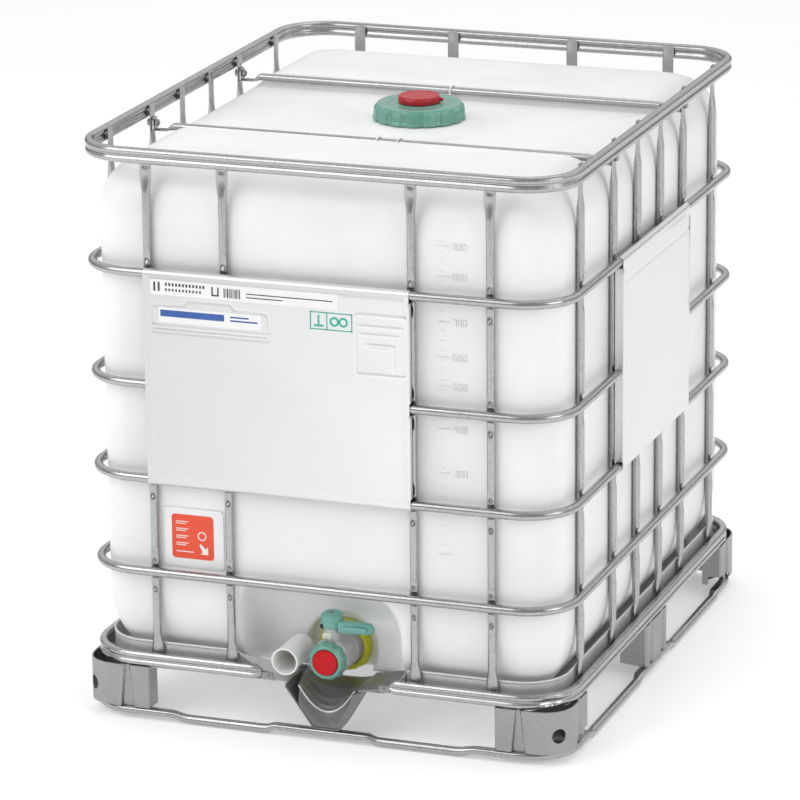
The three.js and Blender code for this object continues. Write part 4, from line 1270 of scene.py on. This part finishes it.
def make_drip_tray():
    """A dished tray over the channel, and the sheet that closes the channel in front below it."""
    columns = []
    for s in spread(-0.96, 0.96, 34):
        x, y, high = dish_point(s, 0)
        low = min(channel_floor(x), high - 0.5)
        column = []
        for t in spread(0, 1, 12):
            dent = 1.2 * math.sin(x / 6.0) * t * (1 - t)
            column.append((x, y - 8 + 8 * t ** 1.5 + dent, low + (high - low) * t))
        columns.append(column)
    # The channel's front sheet and the dish wear darker copies of the pallet steel with painted shade; the
    # rim wears the lighter copy with painted light.
    add_sheet("drip_channel_front", columns, TROUGH_PAINTED_SHADE, 1.6)

    across = spread(-1, 1, 45)
    rows = [[dish_point(s, k / 40) for s in across] for k in range(41)]
    add_sheet("drip_tray_dish", rows, SILL_PAINTED_SHADE, 2.4)
    add_piece("drip_tray_rim", tube([dish_point(s, 0) for s in across], 1.8, 12), PAN_PAINTED_LIGHT)


def make_pan():
    """A pressed tray with a rim bead and a flange under the base rail, open where the valve passes."""
    corner = rounded_path(PAN_X, PAN_Y, 88, 14)
    path = split_long([(146, -PAN_Y, 0, -1)] + corner + [(-118, -PAN_Y, 0, -1)], 12, closed=False)

    def profile(x, y):
        dip = 0.0
        if y < -500:
            dip = ease(-190, -125, x) if x < 10 else ease(176, 142, x)
        rim = 156 - 35 * dip
        outer = [(19, 106, 0.8), (19, 109.5, 0.8), (1, 109.5, 0.8), (0, 111, 0.8), (0, rim - 6, 1.2),
                 (1.4, rim - 3.5, 1.2), (1.4, rim, 1.2), (-2.6, rim, 1.2), (-2.6, rim - 6, 1.2),
                 (-2.4, 110.5, 0.8), (-9, 108.5, 1.2), (-60, 108, 0), (-60, 106, 0)]
        return fillet(outer, 1, 3)

    # The pan and its floor sheet wear the lighter copy of the pallet steel: painted light.
    add_piece("pressed_bottom_pan", along_path(path, profile, wrap=False), PAN_PAINTED_LIGHT, replaces=["bottom_pan"])
    floor = block((-410, -434, 106.2), (410, 510, 108.2), 0.8)
    ribs = [block((-400, y - 12, 103), (400, y + 12, 106.6), 1.4) for y in (-330, -180, 180, 330)]
    add_piece("pan_floor_sheet", merge(floor, *ribs), PAN_PAINTED_LIGHT)
    # Painted light on the left sill and painted shade on the right one: lighter and darker copies of one
    # steel.
    make_sill("left_pan_sill", -190, -72, -505, PAN_PAINTED_LIGHT)
    make_sill("right_pan_sill", 168, 74, -480, SILL_PAINTED_SHADE)


def make_sill(name, start, end, rear, finish):
    """A twisted sheet from the pan's upright wall down to the flat edge of the drip tray."""
    rows = []
    for s in spread(0, 1, 26):
        row = []
        for t in spread(0, 1, 14):
            wall = (start, -PAN_Y - 2.5, 154 - 42 * t)
            flat = (end, rear + (TRAY_FRONT - rear) * t, 106.2)
            row.append(tuple(a + (b - a) * s for a, b in zip(wall, flat)))
        rows.append(row)
    add_sheet(name, rows, finish, 2)


def make_cross_beam():
    line = fillet([(-30, 84, 0), (-30, 105.5, 4), (30, 105.5, 4), (30, 84, 0)], 4, 5, closed=False)
    section = sheet_outline(line, -3)
    beam = skin([[(x, y, z) for y, z in section] for x in (-432, 432)])
    soften(add_piece("folded_cross_beam", beam, SHEET, replaces=["pallet_cross_beam"]), 0.5)


def make_pallet():
    make_runner()
    for place, sign_y in (("front", -1), ("rear", 1)):
        for side, sign_x in (("left", -1), ("right", 1)):
            make_corner_foot(f"{place}_{side}_foot", sign_x, sign_y)
    make_middle_foot("right_middle_foot", FOOT_X, 0)
    make_middle_foot("rear_middle_foot", FOOT_Y, math.pi / 2)
    make_middle_foot("left_middle_foot", FOOT_X, math.pi)
    make_trough()
    make_drip_tray()
    make_pan()
    make_cross_beam()


# --- CAD pieces that are kept ---

def finish_kept_nodes():
    kept = {"fill_lid_gasket": RUBBER, "vent_seal": RUBBER, "outlet_seal": RUBBER, "valve_disc": GREY}
    for node, finish in kept.items():
        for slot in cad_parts[node].material_slots:
            slot.material = finish[0]


# --- Stage ---

def make_floor():
    material, tree, shader = new_material("studio_floor")
    clouds = texture(tree, "ShaderNodeTexNoise", 1.5, 2)
    tree.links.new(tint(tree, clouds.outputs["Fac"], (0.90, 0.90, 0.90), (0.92, 0.92, 0.92)),
                   shader.inputs["Base Color"])
    shader.inputs["Roughness"].default_value = 0.75
    shader.inputs["Emission Color"].default_value = (1, 1, 1, 1)
    shader.inputs["Emission Strength"].default_value = 0.28
    shader.inputs["Specular IOR Level"].default_value = 0.2
    reach, under = 40, -0.001
    corners = [(x * reach, y * reach, under) for x, y in ((-1, -1), (1, -1), (1, 1), (-1, 1))]
    mesh = bpy.data.meshes.new("studio_floor")
    mesh.from_pydata(corners, [], [(0, 1, 2, 3)])
    mesh.materials.append(material)
    link("studio_floor", mesh)


def make_world():
    """A studio that is bright overhead and behind the part, and darker low down in front of it."""
    world = bpy.data.worlds.new("studio")
    bpy.context.scene.world = world
    world.use_nodes = True
    tree = world.node_tree
    background = tree.nodes["Background"]
    place = tree.nodes.new("ShaderNodeTexCoord")
    split = tree.nodes.new("ShaderNodeSeparateXYZ")
    tree.links.new(place.outputs["Generated"], split.inputs["Vector"])
    height = tree.nodes.new("ShaderNodeValToRGB")
    stops = height.color_ramp.elements
    stops[0].position, stops[0].color = 0.0, (0.4, 0.4, 0.4, 1)
    stops[1].position, stops[1].color = 1.0, (0.9, 0.9, 0.9, 1)
    for position, level in ((0.49, 0.14), (0.56, 0.26), (0.62, 0.7), (0.8, 0.95)):
        stop = stops.new(position)
        stop.color = (level, level, level, 1)
    tree.links.new(ramp(tree, split.outputs["Z"], 0, 1, -1, 1), height.inputs["Fac"])
    depth = ramp(tree, split.outputs["Y"], 0.55, 1.15, -0.4, 0.7)
    tree.links.new(depth, background.inputs["Strength"])
    tree.links.new(height.outputs["Color"], background.inputs["Color"])


def add_area(name, place, target, size, power):
    light = bpy.data.lights.new(name, "AREA")
    light.shape = "RECTANGLE"
    light.size, light.size_y = size
    light.energy = power
    obj = link(name, light)
    obj.location = place
    obj.rotation_euler = (Vector(target) - Vector(place)).to_track_quat("-Z", "Y").to_euler()


def make_lights():
    add_area("key_softbox", (-3.2, -4.2, 4.2), (0, 0, 0.5), (4.6, 4.6), 150)
    add_area("right_softbox", (4.6, -1.6, 2.6), (0, 0, 0.5), (2.4, 2.4), 45)
    add_area("top_softbox", (0.4, 0.8, 5.0), (0, 0, 1.0), (3.0, 3.0), 25)


def make_camera():
    """The picture's viewpoint, found by fitting the cage and the pallet."""
    azimuth, elevation, roll = (math.radians(a) for a in (19.858, 16.741, -0.539))
    aim, distance = Vector((0, 0, 0.5166)), 9.3626
    back = Vector((math.sin(azimuth) * math.cos(elevation), -math.cos(azimuth) * math.cos(elevation),
                   math.sin(elevation)))
    right = Vector((math.cos(azimuth), math.sin(azimuth), 0))
    up = back.cross(right)
    across = right * math.cos(roll) + up * math.sin(roll)
    upward = up * math.cos(roll) - right * math.sin(roll)
    turn = Matrix((across, upward, back)).transposed().to_4x4()
    camera = bpy.data.cameras.new("camera")
    camera.sensor_width = 36
    camera.lens = 208.75
    camera.shift_x = -0.02755
    camera.clip_end = 100
    obj = link("camera", camera)
    obj.matrix_world = Matrix.Translation(aim + back * distance) @ turn
    bpy.context.scene.camera = obj


make_rings()
make_rails()
make_uprights()
make_cross_bars()
make_bar_clips()
make_label_plates()
make_front_labels()
make_tank()
make_tank_labels()
make_lid()
make_vent_plug()
make_valve_body()
make_lock_ring()
make_lever()
make_outlet_cap()
make_tamper_tag()
make_spout()
make_pallet()
finish_kept_nodes()
make_floor()
make_world()
make_lights()
make_camera()
bpy.context.scene.view_settings.view_transform = "Standard"
